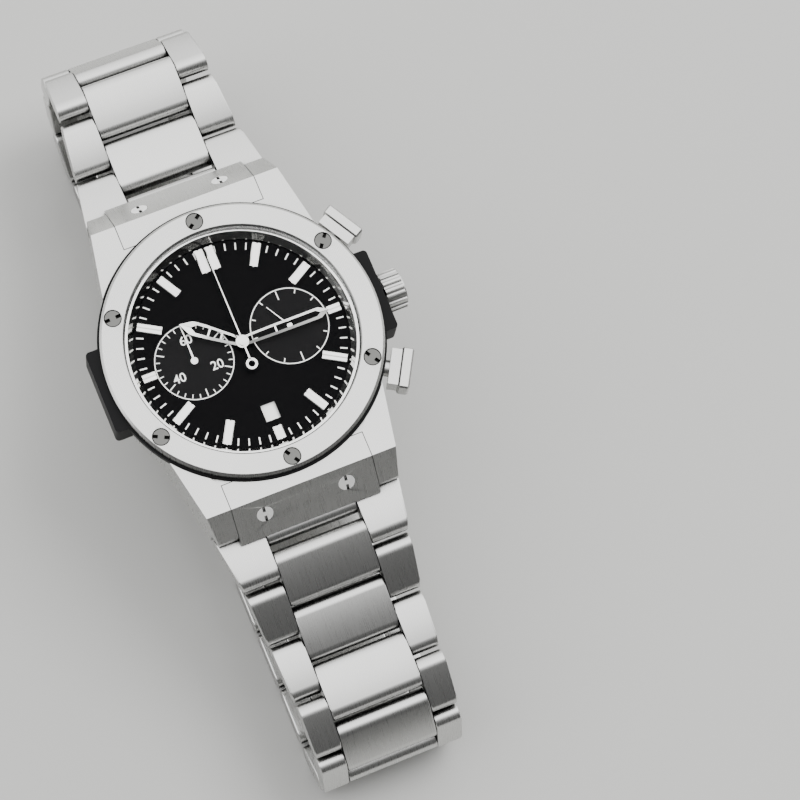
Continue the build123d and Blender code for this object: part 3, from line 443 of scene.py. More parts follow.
def dressed(node, material, edge_mm, segments=3, degrees=24):
    """Copy of a CAD node with its faces merged and its edges rounded; it stands for the node."""
    bm = bmesh.new()
    bm.from_mesh(frame["nodes"][node].data)
    bmesh.ops.remove_doubles(bm, verts=bm.verts, dist=1e-6)
    bmesh.ops.dissolve_limit(bm, angle_limit=math.radians(0.4), verts=bm.verts, edges=bm.edges)
    bmesh.ops.triangulate(bm, faces=[face for face in bm.faces if len(face.verts) > 4])
    name = node + "_finish"
    piece = shown(name, to_mesh(name, bm, 1.0), material, degrees)
    bevel = piece.modifiers.new("rounding", "BEVEL")
    bevel.width = edge_mm * MM
    bevel.segments = segments
    bevel.limit_method = "ANGLE"
    bevel.angle_limit = math.radians(degrees)
    flats = piece.modifiers.new("flats", "WEIGHTED_NORMAL")     # keeps large faces flat
    flats.weight = 100
    flats.keep_sharp = True
    sharp_edged = piece.data
    rounded = evaluated_mesh(piece)
    piece.modifiers.clear()
    piece.data = rounded
    bpy.data.meshes.remove(sharp_edged)
    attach(piece, body_of(node))
    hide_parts(node)
    return piece


def body_of(node):
    """Name of the CAD body that holds a node."""
    return next(b for b, nodes in frame["record"]["behaviour"]["bodies"].items() if node in nodes)


def finish_node(node, material):
    """Gives a CAD node that keeps its shape a better material."""
    for slot in frame["nodes"][node].material_slots:
        slot.material = material


# ---------------------------------------------------------------- geometry node trees
def new_tree(name, inputs):
    """Empty geometry tree with named inputs given as (name, socket type, default)."""
    tree = bpy.data.node_groups.new(name, "GeometryNodeTree")
    tree.interface.new_socket("Geometry", in_out="OUTPUT", socket_type="NodeSocketGeometry")
    for label, kind, default in inputs:
        socket = tree.interface.new_socket(label, in_out="INPUT", socket_type=kind)
        if default is not None:
            socket.default_value = default
    return tree, tree.nodes.new("NodeGroupInput")


def close_tree(tree, geometry, material_socket):
    """Ends a tree in Realize Instances and Set Material."""
    real = add_node(tree, "GeometryNodeRealizeInstances", {0: geometry})
    finished = add_node(tree, "GeometryNodeSetMaterial", {"Geometry": real.outputs[0],
                                                          "Material": material_socket})
    add_node(tree, "NodeGroupOutput", {0: finished.outputs[0]})


def grow(name, tree, values, smooth_degrees=30):
    """Runs a tree with its inputs by name and returns the plain mesh as an object."""
    carrier = bpy.data.objects.new(name + "_carrier", bpy.data.meshes.new(name + "_carrier"))
    bpy.context.scene.collection.objects.link(carrier)
    modifier = carrier.modifiers.new("grow", "NODES")
    modifier.node_group = tree
    for item in tree.interface.items_tree:
        if item.in_out == "INPUT" and item.name in values:
            modifier[item.identifier] = values[item.name]
    carrier.update_tag()
    mesh = evaluated_mesh(carrier)
    bpy.data.objects.remove(carrier)
    mesh.name = name
    return shown(name, mesh, values["Material"], smooth_degrees)


def ring_tree():
    """Copies of one object round a circle, each turned to face the centre.
    With Skip Every, the first place and every place that many further on stay empty."""
    tree, group = new_tree("ring_of_copies", [
        ("Item", "NodeSocketObject", None), ("Material", "NodeSocketMaterial", None),
        ("Count", "NodeSocketInt", 60), ("Radius", "NodeSocketFloat", 0.01),
        ("Skip Every", "NodeSocketInt", 0), ("Centre", "NodeSocketVector", None),
        ("Loose Turn", "NodeSocketFloat", 0.0), ("Seed", "NodeSocketInt", 7)])
    given = group.outputs
    points = add_node(tree, "GeometryNodePoints", {"Count": given["Count"]})
    index = add_node(tree, "GeometryNodeInputIndex")
    share = add_node(tree, "ShaderNodeMath", {0: index.outputs[0], 1: given["Count"]},
                     operation="DIVIDE")
    clockwise = add_node(tree, "ShaderNodeMath", {0: share.outputs[0], 1: -2 * math.pi},
                         operation="MULTIPLY")
    loose = add_node(tree, "FunctionNodeRandomValue",           # input 3 is the largest number
                     {3: given["Loose Turn"], "Seed": given["Seed"]}, data_type="FLOAT")
    own_turn = add_node(tree, "ShaderNodeMath", {0: clockwise.outputs[0], 1: loose.outputs[1]},
                        operation="ADD")
    turn = add_node(tree, "ShaderNodeCombineXYZ", {"Z": own_turn.outputs[0]})
    reach = add_node(tree, "ShaderNodeCombineXYZ", {"Y": given["Radius"]})
    spun = add_node(tree, "ShaderNodeVectorRotate", {
        "Vector": reach.outputs[0], "Angle": clockwise.outputs[0]}, rotation_type="Z_AXIS")
    moved = add_node(tree, "ShaderNodeVectorMath", {0: spun.outputs[0], 1: given["Centre"]},
                     operation="ADD")
    placed = add_node(tree, "GeometryNodeSetPosition", {"Geometry": points.outputs[0],
                                                        "Position": moved.outputs[0]})
    stored = add_node(tree, "GeometryNodeStoreNamedAttribute", {
        "Geometry": placed.outputs[0], "Name": "turn", "Value": turn.outputs[0]},
        data_type="FLOAT_VECTOR", domain="POINT")
    left = add_node(tree, "ShaderNodeMath", {0: index.outputs[0], 1: given["Skip Every"]},
                    operation="FLOORED_MODULO")
    due = add_node(tree, "FunctionNodeCompare", {"A": left.outputs[0], "B": 0.5},
                   data_type="FLOAT", operation="LESS_THAN")
    skipping = add_node(tree, "FunctionNodeCompare", {"A": given["Skip Every"], "B": 0.5},
                        data_type="FLOAT", operation="GREATER_THAN")
    drop = add_node(tree, "FunctionNodeBooleanMath", {0: due.outputs[0], 1: skipping.outputs[0]},
                    operation="AND")
    kept = add_node(tree, "GeometryNodeDeleteGeometry", {"Geometry": stored.outputs[0],
                                                         "Selection": drop.outputs[0]})
    item = add_node(tree, "GeometryNodeObjectInfo", {"Object": given["Item"]})
    read = add_node(tree, "GeometryNodeInputNamedAttribute", {"Name": "turn"},
                    data_type="FLOAT_VECTOR")
    copies = add_node(tree, "GeometryNodeInstanceOnPoints", {
        "Points": kept.outputs[0], "Instance": item.outputs["Geometry"],
        "Rotation": read.outputs["Attribute"]})
    close_tree(tree, copies.outputs[0], given["Material"])
    return tree


def link_tree():
    """One link, or a mirrored pair with a slanted outer edge, laid along a heading from a pin."""
    tree, group = new_tree("bracelet_link", [
        ("Item", "NodeSocketObject", None), ("Material", "NodeSocketMaterial", None),
        ("Pin", "NodeSocketVector", None), ("Heading", "NodeSocketFloat", 0.0),
        ("Inner", "NodeSocketFloat", 0.0), ("Extra", "NodeSocketFloat", 0.0),
        ("Slant", "NodeSocketFloat", 0.0), ("Pair", "NodeSocketBool", False)])
    given = group.outputs
    item = add_node(tree, "GeometryNodeObjectInfo", {"Object": given["Item"]})
    position = add_node(tree, "GeometryNodeInputPosition")
    split = add_node(tree, "ShaderNodeSeparateXYZ", {"Vector": position.outputs[0]})
    outer_side = add_node(tree, "FunctionNodeCompare", {"A": split.outputs[0],
                                                               "B": SLANT_FROM * MM},
                          data_type="FLOAT", operation="GREATER_THAN")
    slope = add_node(tree, "ShaderNodeMath", {0: split.outputs[1], 1: given["Slant"],
                                              2: given["Extra"]}, operation="MULTIPLY_ADD")
    shift = add_node(tree, "ShaderNodeCombineXYZ", {"X": slope.outputs[0]})
    widened = add_node(tree, "GeometryNodeSetPosition", {
        "Geometry": item.outputs["Geometry"], "Selection": outer_side.outputs[0],
        "Offset": shift.outputs[0]})
    inner = add_node(tree, "ShaderNodeCombineXYZ", {"X": given["Inner"]})
    right = add_node(tree, "GeometryNodeTransform", {"Geometry": widened.outputs[0],
                                                     "Translation": inner.outputs[0]})
    left = add_node(tree, "GeometryNodeTransform", {"Geometry": right.outputs[0],
                                                    "Scale": (-1, 1, 1)})
    flipped = add_node(tree, "GeometryNodeFlipFaces", {"Mesh": left.outputs[0]})
    pair = add_node(tree, "GeometryNodeJoinGeometry", {0: flipped.outputs[0]})
    tree.links.new(right.outputs[0], pair.inputs[0])
    choice = add_node(tree, "GeometryNodeSwitch", {
        "Switch": given["Pair"], "False": widened.outputs[0], "True": pair.outputs[0]},
        input_type="GEOMETRY")
    turn = add_node(tree, "ShaderNodeCombineXYZ", {"X": given["Heading"]})
    laid = add_node(tree, "GeometryNodeTransform", {
        "Geometry": choice.outputs[0], "Rotation": turn.outputs[0], "Translation": given["Pin"]})
    close_tree(tree, laid.outputs[0], given["Material"])
    return tree


def master(name, bm):
    """Hidden object whose mesh the trees copy; removed once its copies are plain meshes."""
    return bpy.data.objects.new(name, to_mesh(name, bm))


def discard(*objects):
    """Removes master objects."""
    for item in objects:
        bpy.data.objects.remove(item)


# ---------------------------------------------------------------- watch head
class WATCH_OT_case(bpy.types.Operator):
    """Case middle, end pieces and resin insert with rounded edges"""
    bl_idname = "watch.case"
    bl_label = "Case"

    def execute(self, context):
        dressed("case_middle", MATERIALS["steel"], 0.22)
        dressed("end_piece_12", MATERIALS["steel"], 0.16)
        dressed("end_piece_6", MATERIALS["steel"], 0.16)
        dressed("resin_insert", MATERIALS["resin"], 0.2)
        return {"FINISHED"}


class WATCH_OT_bezel(bpy.types.Operator):
    """Bezel with its edges broken"""
    bl_idname = "watch.bezel"
    bl_label = "Bezel"

    def execute(self, context):
        dressed("bezel", MATERIALS["steel"], 0.06, 2)
        return {"FINISHED"}


def screw_master(radius, depth):
    """Round head with two opposed notches, face at z 0, on a narrower shank."""
    notch_half, notch_in = 0.25, 0.4 * radius
    face_low, rounding, arc = 0.04, 0.07, 16
    shank_radius, shank_long, shank_overlap = 0.98 * radius, 0.3, 0.02
    edge = math.asin(notch_half / radius)
    points = []
    for side in (1, -1):
        points.append((side * notch_half, side * notch_in))
        for step in range(arc + 1):
            a = side * math.pi / 2 - edge - (math.pi - 2 * edge) * step / arc
            points.append((radius * math.cos(a), radius * math.sin(a)))
        points.append((side * notch_half, -side * notch_in))
    bm = bmesh.new()
    prism(bm, list(reversed(points)), -depth, -face_low)
    bmesh.ops.recalc_face_normals(bm, faces=bm.faces)
    rim = [e for e in bm.edges if all(v.co.z > -face_low - 0.01 for v in e.verts)]
    bmesh.ops.bevel(bm, geom=rim, offset=rounding, segments=2, affect="EDGES", profile=0.7)
    prism(bm, circle(shank_radius, 24), -depth - shank_long, shank_overlap - depth)
    return master("screw_master", bm)


class WATCH_OT_screws(bpy.types.Operator):
    """Notched screws of the bezel, the end pieces and the caseback"""
    bl_idname = "watch.screws"
    bl_label = "Screws"

    def execute(self, context):
        cad_radius = 1.25
        head_radius, head_depth = 1.18, 0.75        # the gap round a head shows as a dark ring, real shade deepened by painted gap shade
        circle_radius = box_mm("bezel_screws")[1].y - cad_radius
        head = screw_master(head_radius, head_depth)
        piece = grow("bezel_screw_heads", ring_tree(), {
            "Item": head, "Material": MATERIALS["screw"], "Count": 6,
            "Radius": circle_radius * MM, "Centre": (0, 0, box_mm("bezel")[1].z * MM),
            "Loose Turn": math.pi, "Seed": 4})
        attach(piece, "case")
        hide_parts("bezel_screws")
        discard(head)
        finish_node("end_piece_screws", MATERIALS["blasted"])
        finish_node("caseback_screws", MATERIALS["screw"])
        return {"FINISHED"}


class WATCH_OT_crystal(bpy.types.Operator):
    """Sapphire and the flange ring under it"""
    bl_idname = "watch.crystal"
    bl_label = "Crystal"

    def execute(self, context):
        corner, top = box_mm("crystal")
        low, high, radius = corner.z, top.z, top.x
        edge, edge_middle = 0.25, 0.08          # rounded rim of the sapphire
        glass = lathe("crystal_glass", [(0, low), (radius, low), (radius, high - edge),
                                        (radius - edge_middle, high - edge_middle),
                                        (radius - edge, high), (0, high)],
                      MATERIALS["sapphire"])
        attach(glass, "case")
        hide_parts("crystal")
        finish_node("caseback_glass", MATERIALS["sapphire"])
        flange = dressed("flange_ring", MATERIALS["polished"], 0.04, 2)
        return {"FINISHED"}


# ---------------------------------------------------------------- dial
def bar_master(width, reach):
    """Applied bar with eased edges and a groove along its middle, pointing along Y inwards."""
    height, groove, ease = 0.38, 0.1, 0.12
    half = width / 2
    section = [(-half, 0), (half, 0), (half, height * 0.75), (half - ease, height),
               (groove, height), (groove, 0.05), (-groove, 0.05), (-groove, height),
               (-half + ease, height), (-half, height * 0.75)]
    bm = bmesh.new()
    start = [bm.verts.new((x, 0, z)) for x, z in section]
    end = [bm.verts.new((x, -reach, z)) for x, z in section]
    bridge(bm, end, start)
    bm.faces.new(start)
    bm.faces.new(list(reversed(end)))
    bmesh.ops.recalc_face_normals(bm, faces=bm.faces)
    return master("marker_master", bm)


def stroke_master(name, width, reach):
    """Thin printed stroke, pointing inwards from its outer end."""
    bm = bmesh.new()
    half = width / 2
    prism(bm, [(-half, -reach), (half, -reach), (half, 0), (-half, 0)], 0, PRINT_THICK)
    return master(name, bm)


def on_dial(piece, node=None):
    """Fixes a piece to the dial; node is the CAD node that it stands for."""
    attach(piece, "case")
    if node:
        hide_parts(node)


def number(name, text, centre, size):
    """Printed number lying on the dial."""
    curve = bpy.data.curves.new(name, "FONT")
    curve.body = text
    curve.size = size * MM
    curve.align_x = "CENTER"
    curve.align_y = "CENTER"
    curve.extrude = 0.01 * MM
    curve.offset = 0.015 * MM           # a little bolder than the font
    holder = bpy.data.objects.new(name + "_curve", curve)
    bpy.context.scene.collection.objects.link(holder)
    mesh = evaluated_mesh(holder)
    bpy.data.objects.remove(holder)
    mesh.transform(Matrix.Translation(Vector(centre) * MM))
    return shown(name, mesh, MATERIALS["print"])


class WATCH_OT_dial(bpy.types.Operator):
    """Lacquered dial, sub-dials, printed track and numbers"""
    bl_idname = "watch.dial"
    bl_label = "Dial"

    def execute(self, context):
        sizes = settings("watch_head")
        tree = ring_tree()
        recess, disc_thick, disc_hole = 0.12, 0.01, 0.35        # of a sub-dial
        line_half, track_inset = 0.07, 0.15
        number_reach, number_size = 3.35, 1.9
        floor_z = DIAL_Z - recess + disc_thick
        finish_node("dial", MATERIALS["dial"])
        finish_node("date_disc", MATERIALS["print"])

        def track(name, count, skip, width, reach, radius, centre):
            stroke = stroke_master(name + "_master", width, reach)
            on_dial(grow(name, tree, {
                "Item": stroke, "Material": MATERIALS["print"], "Count": count,
                "Skip Every": skip, "Radius": radius * MM,
                "Centre": tuple(value * MM for value in centre)}))
            discard(stroke)

        track("minute_ticks", 60, 5, sizes.tick_width, sizes.tick_length, sizes.tick_outer,
              (0, 0, DIAL_Z))
        inner, outer = sizes.ring_radius - line_half, sizes.ring_radius + line_half
        for label, x in (("left", -SUBDIAL_X), ("right", SUBDIAL_X)):
            disc = [(disc_hole, floor_z - disc_thick), (sizes.ring_radius, floor_z - disc_thick),
                    (sizes.ring_radius, floor_z), (disc_hole, floor_z)]
            on_dial(lathe(f"subdial_{label}", disc, MATERIALS[f"subdial_{label}"], 96, x))
            line = [(inner, floor_z), (outer, floor_z), (outer, floor_z + PRINT_THICK),
                    (inner, floor_z + PRINT_THICK)]
            on_dial(lathe(f"subdial_ring_{label}", line, MATERIALS["print"], 128, x))
        for name, count, skip, width, reach, x in (
                ("seconds_ticks", 30, 5, 0.13, 0.6, -SUBDIAL_X),
                ("seconds_quarters", 6, 0, 0.16, 1.15, -SUBDIAL_X),
                ("counter_ticks", 12, 6, 0.15, 0.6, SUBDIAL_X),
                ("counter_halves", 2, 0, 0.16, 1.35, SUBDIAL_X)):
            track(name, count, skip, width, reach, sizes.ring_radius - track_inset,
                  (x, 0, floor_z))
        for text, clock in (("60", 0), ("20", 120), ("40", 240)):
            place = (-SUBDIAL_X + number_reach * math.sin(math.radians(clock)),
                     number_reach * math.cos(math.radians(clock)), floor_z + 0.02)
            on_dial(number(f"number_{text}", text, place, number_size))
        return {"FINISHED"}


class WATCH_OT_markers(bpy.types.Operator):
    """Applied hour markers"""
    bl_idname = "watch.markers"
    bl_label = "Hour markers"

    def execute(self, context):
        sizes = settings("watch_head")
        tree = ring_tree()
        pair_half = 0.82                # from the middle of the pair at 12 to each bar
        long_bar = bar_master(sizes.marker_width, sizes.marker_long)
        short_bar = bar_master(sizes.marker_width, sizes.marker_short)

        def bars(name, item, count, skip, x=0.0):
            return grow(name, tree, {
                "Item": item, "Material": MATERIALS["polished"], "Count": count,
                "Skip Every": skip, "Radius": sizes.marker_outer * MM,
                "Centre": (x * MM, 0, DIAL_Z * MM)}, 20)

        on_dial(bars("hour_bars", long_bar, 12, 3), "hour_markers")
        # the ring of four starts at 12 o'clock, and that place is left out
        on_dial(bars("quarter_bars", short_bar, 4, 4))
        on_dial(bars("noon_bar_left", long_bar, 1, 0, -pair_half))
        on_dial(bars("noon_bar_right", long_bar, 1, 0, pair_half))
        discard(long_bar, short_bar)
        return {"FINISHED"}


# ---------------------------------------------------------------- hands
# Rails of a pierced hand: distance from the arbor, outer and inner half width.
HOUR_RAILS = [(0.5, 0.7, 0.3), (1.6, 0.78, 0.4), (4.4, 0.96, 0.58), (6.9, 1.05, 0.6),
              (7.7, 1.0, 0.04), (9.4, 0.04, 0.0)]
MINUTE_RAILS = [(0.5, 0.72, 0.36), (1.5, 0.76, 0.4), (5.2, 0.82, 0.46), (11.5, 0.84, 0.44),
                (12.1, 0.8, 0.04), (13.4, 0.04, 0.0)]
# Bars between the rails: distance from the arbor, half length.
HOUR_BARS = [(3.1, 0.6), (5.0, 0.8)]
MINUTE_BARS = [(5.2, 0.6)]
# Heights of the hands over the dial.
HOUR_HIGH, MINUTE_HIGH, CHRONO_HIGH, SMALL_HIGH = 0.55, 0.9, 1.27, 0.14


def hand_matrix(clock, x=0.0):
    """Turns a hand drawn along +Y to a clock angle about its own arbor."""
    return Matrix.Translation((x, 0, 0)) @ Matrix.Rotation(-math.radians(clock), 4, "Z")


def roof_hand(name, node, clock, rails, bars, low):
    """Pierced hand: two rails that slope outwards, joined by bars, meeting in a ridged tip."""
    crest, eave, hub_radius, hub_high = 0.22, 0.08, 0.95, 0.2
    bar_half, bar_low, bar_high = 0.13, 0.03, 0.16
    bm = bmesh.new()
    turn = hand_matrix(clock)
    for side in (-1, 1):
        rings = []
        for y, outer, inner in rails:
            corners = [(inner, 0), (outer, 0), (outer, eave), (inner, crest)]
            rings.append([bm.verts.new(turn @ Vector((side * x, y, low + z)))
                          for x, z in corners])
        for here, there in zip(rings, rings[1:]):
            bridge(bm, here, there)
        bm.faces.new(rings[0])
        bm.faces.new(rings[-1])
    for y, reach in bars:
        prism(bm, [(-reach, y - bar_half), (reach, y - bar_half), (reach, y + bar_half),
                   (-reach, y + bar_half)], low + bar_low, low + bar_high, turn)
    prism(bm, circle(hub_radius, 48), low, low + hub_high, turn)
    bmesh.ops.recalc_face_normals(bm, faces=bm.faces)
    piece = shown(name, to_mesh(name, bm), MATERIALS["polished"], 10)
    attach(piece, body_of(node))
    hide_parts(node)


def thin_hand(name, node, clock, x, low, reach, tail, root, tip, boss, ring=None):
    """Needle hand with half widths root and tip, boss steps as (radius, height), and a ring
    counterweight as (outer, inner radius) where it has one."""
    thick, steps, overlap = 0.1, 32, 0.2
    bm = bmesh.new()
    turn = hand_matrix(clock, x)
    prism(bm, [(-root, -tail), (root, -tail), (tip, reach), (-tip, reach)], low, low + thick,
          turn)
    for radius, high in boss:
        prism(bm, circle(radius, steps), low - 0.02, low + high, turn)
    if ring:
        outer, inner = ring
        rows = [[bm.verts.new(turn @ Vector((px, py, z)))
                 for px, py in circle(radius, steps, -tail - outer + overlap)]
                for radius in (inner, outer) for z in (low, low + thick)]
        for a, b in ((0, 1), (1, 3), (3, 2), (2, 0)):
            bridge(bm, rows[a], rows[b])
    bmesh.ops.recalc_face_normals(bm, faces=bm.faces)
    piece = shown(name, to_mesh(name, bm), MATERIALS["polished"])
    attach(piece, body_of(node))
    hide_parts(node)


class WATCH_OT_hands(bpy.types.Operator):
    """Hour, minute, chronograph, small seconds and counter hands"""
    bl_idname = "watch.hands"
    bl_label = "Hands"

    def execute(self, context):
        roof_hand("hour_hand_steel", "hour_hand", clock=307.5, rails=HOUR_RAILS,
                  bars=HOUR_BARS, low=DIAL_Z + HOUR_HIGH)
        roof_hand("minute_hand_steel", "minute_hand", clock=90.0, rails=MINUTE_RAILS,
                  bars=MINUTE_BARS, low=DIAL_Z + MINUTE_HIGH)
        thin_hand("chrono_hand_steel", "chrono_seconds_hand", clock=0, x=0,
                  low=DIAL_Z + CHRONO_HIGH, reach=13.6, tail=3.0, root=0.12, tip=0.05,
                  boss=[(0.62, 0.14), (0.32, 0.24)], ring=(0.85, 0.5))
        thin_hand("small_seconds_steel", "small_seconds_hand", clock=0, x=-SUBDIAL_X,
                  low=DIAL_Z + SMALL_HIGH, reach=4.9, tail=0.4, root=0.15, tip=0.07,
                  boss=[(0.52, 0.16), (0.26, 0.22)])
        thin_hand("counter_hand_steel", "counter_hand", clock=330, x=SUBDIAL_X,
                  low=DIAL_Z + SMALL_HIGH, reach=4.3, tail=0.5, root=0.09, tip=0.05,
                  boss=[(0.4, 0.16), (0.2, 0.22)])
        return {"FINISHED"}


# ---------------------------------------------------------------- crown and pushers
class WATCH_OT_controls(bpy.types.Operator):
    """Fluted crown and the two pushers"""
    bl_idname = "watch.controls"
    bl_label = "Crown and pushers"

    def execute(self, context):
        dressed("crown", MATERIALS["steel_cross"], 0.1, 2)
        dressed("pusher_2", MATERIALS["steel_open"], 0.15)
        dressed("pusher_4", MATERIALS["steel_open"], 0.15)
        finish_node("winding_stem", MATERIALS["steel"])
        return {"FINISHED"}


# ---------------------------------------------------------------- bracelet
def link_master(name, width):
    """Bar with full-round ends and eased sides, first pin at the origin, from x 0 to its width."""
    sizes = settings("watch_bracelet")
    radius = sizes.thickness / 2
    middle = sizes.half_pitch / 2
    reach = sizes.length / 2 - radius
    arc = 12
    outline = []
    for end, start in ((1, -math.pi / 2), (-1, math.pi / 2)):
        for step in range(arc + 1):
            a = start + math.pi * step / arc
            outline.append((middle + end * reach + radius * math.cos(a), radius * math.sin(a)))
    bm = bmesh.new()
    near = [bm.verts.new((0, y, z)) for y, z in outline]
    far = [bm.verts.new((width, y, z)) for y, z in outline]
    sides = [bm.faces.new(list(reversed(near))), bm.faces.new(far)]
    bridge(bm, near, far)
    rims = [edge for face in sides for edge in face.edges]
    bmesh.ops.bevel(bm, geom=rims, offset=sizes.edge, segments=3, affect="EDGES", profile=0.6)
    bmesh.ops.recalc_face_normals(bm, faces=bm.faces)
    return master(name, bm)


def chain(half):
    """Bodies of one half from the case outwards, with their pins and headings."""
    joints = []
    while f"hinge_{half}_{len(joints) + 1}" in JOINTS:
        joints.append(JOINTS[f"hinge_{half}_{len(joints) + 1}"])
    places = []
    for index, joint in enumerate(joints):
        y, z = joint["pos_m"][1:]
        if index + 1 < len(joints):         # the last body keeps the heading of the one before
            next_y, next_z = joints[index + 1]["pos_m"][1:]
            heading = math.atan2(next_z - z, next_y - y)
        places.append((joint["child"], Vector((0, y, z)), heading))
    return places


class WATCH_OT_bracelet(bpy.types.Operator):
    """Centre links and outer links of both halves"""
    bl_idname = "watch.bracelet"
    bl_label = "Bracelet"

    def execute(self, context):
        sizes = settings("watch_bracelet")
        tree = link_tree()
        outer_base = 3.0
        centre = link_master("centre_master", sizes.centre_width)
        outer = link_master("outer_master", outer_base)
        inner_x = sizes.centre_width / 2 + sizes.side_clear
        centre.data.transform(Matrix.Translation((-sizes.centre_width / 2 * MM, 0, 0)))

        def half_width(step):
            return sizes.end_half + sizes.flare * math.exp(-step / sizes.flare_steps)

        def place(name, item, pin, heading, pair, step):
            wide, narrow = half_width(step - 1), half_width(step + 2)
            slant = (narrow - wide) / (3 * sizes.half_pitch)
            extra = wide + slant * sizes.half_pitch - inner_x - outer_base
            return grow(name, tree, {
                "Item": item, "Material": MATERIALS["steel"], "Pin": tuple(pin),
                "Heading": heading, "Inner": inner_x * MM, "Pair": pair,
                "Extra": extra * MM if pair else 0.0, "Slant": slant if pair else 0.0}, 35)

        for half in ("12", "6"):
            step = 0
            for body, pin, heading in chain(half):
                along = Vector((0, math.cos(heading), math.sin(heading))) * sizes.half_pitch * MM
                if body.startswith("flat_row"):
                    kinds = [step % 2 == 0, step % 2 == 1]
                else:
                    kinds = [body.startswith("outer")]
                for order, is_pair in enumerate(kinds):
                    label = f"{body}_{'outer' if is_pair else 'centre'}"
                    piece = place(label, outer if is_pair else centre, pin + order * along,
                                  heading, is_pair, step)
                    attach(piece, body)
                    if order == 0:
                        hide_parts(body)
                    step += 1
        discard(centre, outer)
        return {"FINISHED"}


class WATCH_OT_clasp(bpy.types.Operator):
    """Folding clasp under the case"""
    bl_idname = "watch.clasp"
    bl_label = "Clasp"

    def execute(self, context):
        dressed("clasp_cover", MATERIALS["steel"], 0.2)
        dressed("clasp_inner_blade", MATERIALS["steel"], 0.12)
        dressed("clasp_middle_blade", MATERIALS["steel"], 0.12)
        return {"FINISHED"}


class WATCH_OT_movement(bpy.types.Operator):
    """Caseback and movement"""
    bl_idname = "watch.movement"
    bl_label = "Caseback and movement"

    def execute(self, context):
        dressed("caseback", MATERIALS["steel_cross"], 0.15)
        for node in ("main_plate", "balance_wheel", "mainspring_barrel"):
            finish_node(node, MATERIALS["gilt"])
        for node in ("movement_bridges", "rotor"):
            finish_node(node, MATERIALS["steel_cross"])
        finish_node("movement_holder", MATERIALS["resin"])
        return {"FINISHED"}


# ---------------------------------------------------------------- stage
def area_light(name, place, size, watts, aim=(0, 0, 20)):
    """Soft box aimed at a point, in millimetres."""
    light = bpy.data.lights.new(name, "AREA")
    light.shape = "RECTANGLE"
    light.size, light.size_y = size[0] * MM, size[1] * MM
    light.energy = watts
    lamp = bpy.data.objects.new(name, light)
    bpy.context.scene.collection.objects.link(lamp)
    lamp.location = Vector(place) * MM
    lamp.rotation_euler = (Vector(aim) - Vector(place)).to_track_quat("-Z", "Y").to_euler()
    lamp.visible_glossy = False         # the steel mirrors the graded surroundings instead


# Brightness of the surroundings by their lean in degrees: 90 is overhead, 0 behind 12 o'clock.
SURROUNDINGS = [(-180, 0.05), (-80, 0.015), (-48, 0.02), (-30, 0.045), (-17, 0.2), (-4, 0.5),
                (4, 1.0), (12, 0.42), (34, 0.4), (70, 0.2), (110, 0.2), (180, 0.05)]


def studio_world():
    """Surroundings that the steel mirrors, graded from 12 o'clock over the top to 6."""
    world = bpy.data.worlds.new("studio")
    world.use_nodes = True
    tree = world.node_tree
    place = add_node(tree, "ShaderNodeTexCoord")
    split = add_node(tree, "ShaderNodeSeparateXYZ", {0: place.outputs["Generated"]})
    lean = add_node(tree, "ShaderNodeMath", {0: split.outputs["Y"], 1: split.outputs["Z"]},
                    operation="ARCTAN2")
    share = add_node(tree, "ShaderNodeMapRange", {"Value": lean.outputs[0], "From Min": -math.pi,
                                                  "From Max": math.pi})
    ramp = add_node(tree, "ShaderNodeValToRGB", {"Fac": share.outputs[0]})
    stops = ramp.color_ramp.elements
    while len(stops) > 1:
        stops.remove(stops[0])
    for index, (degrees, level) in enumerate(SURROUNDINGS):
        stop = stops[0] if index == 0 else stops.new(0.5)
        stop.position = (degrees + 180) / 360
        stop.color = (level, level, level, 1)
    background = tree.nodes["Background"]
    tree.links.new(ramp.outputs["Color"], background.inputs["Color"])
    background.inputs["Strength"].default_value = 7.0
    return world


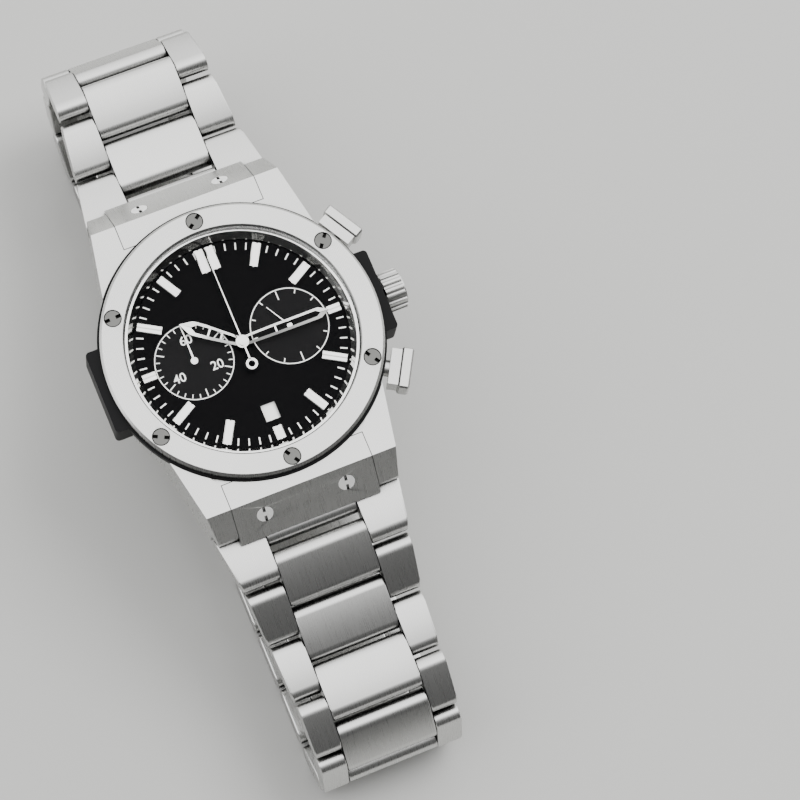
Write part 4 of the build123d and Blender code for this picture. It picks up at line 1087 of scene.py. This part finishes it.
class WATCH_OT_stage(bpy.types.Operator):
    """Floor, soft light and camera"""
    bl_idname = "watch.stage"
    bl_label = "Stage"

    def execute(self, context):
        stage = settings("watch_stage")
        half, thick = 900, 6
        bm = bmesh.new()
        prism(bm, [(-half, -half), (half, -half), (half, half), (-half, half)], -thick, 0)
        floor = shown("floor", to_mesh("floor", bm), MATERIALS["floor"])
        area_light("overhead", place=(300, 60, 600), size=(300, 300), watts=3.2)
        context.scene.world = studio_world()

        azimuth, elevation, roll = stage.azimuth, stage.elevation, stage.roll
        back = Vector((math.sin(azimuth) * math.cos(elevation),
                       -math.cos(azimuth) * math.cos(elevation), math.sin(elevation)))
        right = Vector((math.cos(azimuth), math.sin(azimuth), 0))
        up = back.cross(right)
        turned_right = right * math.cos(roll) + up * math.sin(roll)
        turned_up = up * math.cos(roll) - right * math.sin(roll)
        aim = Vector((stage.aim_x, stage.aim_y, DIAL_Z)) * MM
        lens = bpy.data.cameras.new("camera")
        lens.lens = stage.lens
        lens.sensor_width = 36
        lens.clip_start = 0.01
        camera = bpy.data.objects.new("camera", lens)
        context.scene.collection.objects.link(camera)
        turn = Matrix((turned_right, turned_up, back)).transposed().to_4x4()
        camera.matrix_world = Matrix.Translation(aim + back * stage.distance * MM) @ turn
        context.scene.camera = camera
        return {"FINISHED"}


class WATCH_PT_panel(bpy.types.Panel):
    """Lists the steps that build the watch, and its settings"""
    bl_label = "Watch"
    bl_idname = "WATCH_PT_panel"
    bl_space_type = "VIEW_3D"
    bl_region_type = "UI"
    bl_category = "Watch"

    def draw(self, context):
        for operator in OPERATORS:
            self.layout.operator(operator.bl_idname)
        for kind, group in SETTINGS.items():
            for key in group.__annotations__:
                self.layout.prop(getattr(context.scene, kind), key)


OPERATORS = (WATCH_OT_finishes, WATCH_OT_case, WATCH_OT_bezel, WATCH_OT_screws,
             WATCH_OT_crystal, WATCH_OT_dial, WATCH_OT_markers, WATCH_OT_hands,
             WATCH_OT_controls, WATCH_OT_bracelet, WATCH_OT_clasp, WATCH_OT_movement,
             WATCH_OT_stage)


def register():
    """Registers the settings, the operators and the panel."""
    for cls in (*SETTINGS.values(), *OPERATORS, WATCH_PT_panel):
        bpy.utils.register_class(cls)
    for kind, cls in SETTINGS.items():
        setattr(bpy.types.Scene, kind, PointerProperty(type=cls))


def unregister():
    """Undoes register()."""
    for kind in SETTINGS:
        delattr(bpy.types.Scene, kind)
    for cls in (WATCH_PT_panel, *reversed(OPERATORS), *reversed(list(SETTINGS.values()))):
        bpy.utils.unregister_class(cls)


def main():
    """Builds the watch step by step."""
    register()
    for operator in OPERATORS:
        step = getattr(bpy.ops.watch, operator.bl_idname.split(".")[1])
        step()


if __name__ == "__main__":
    main()
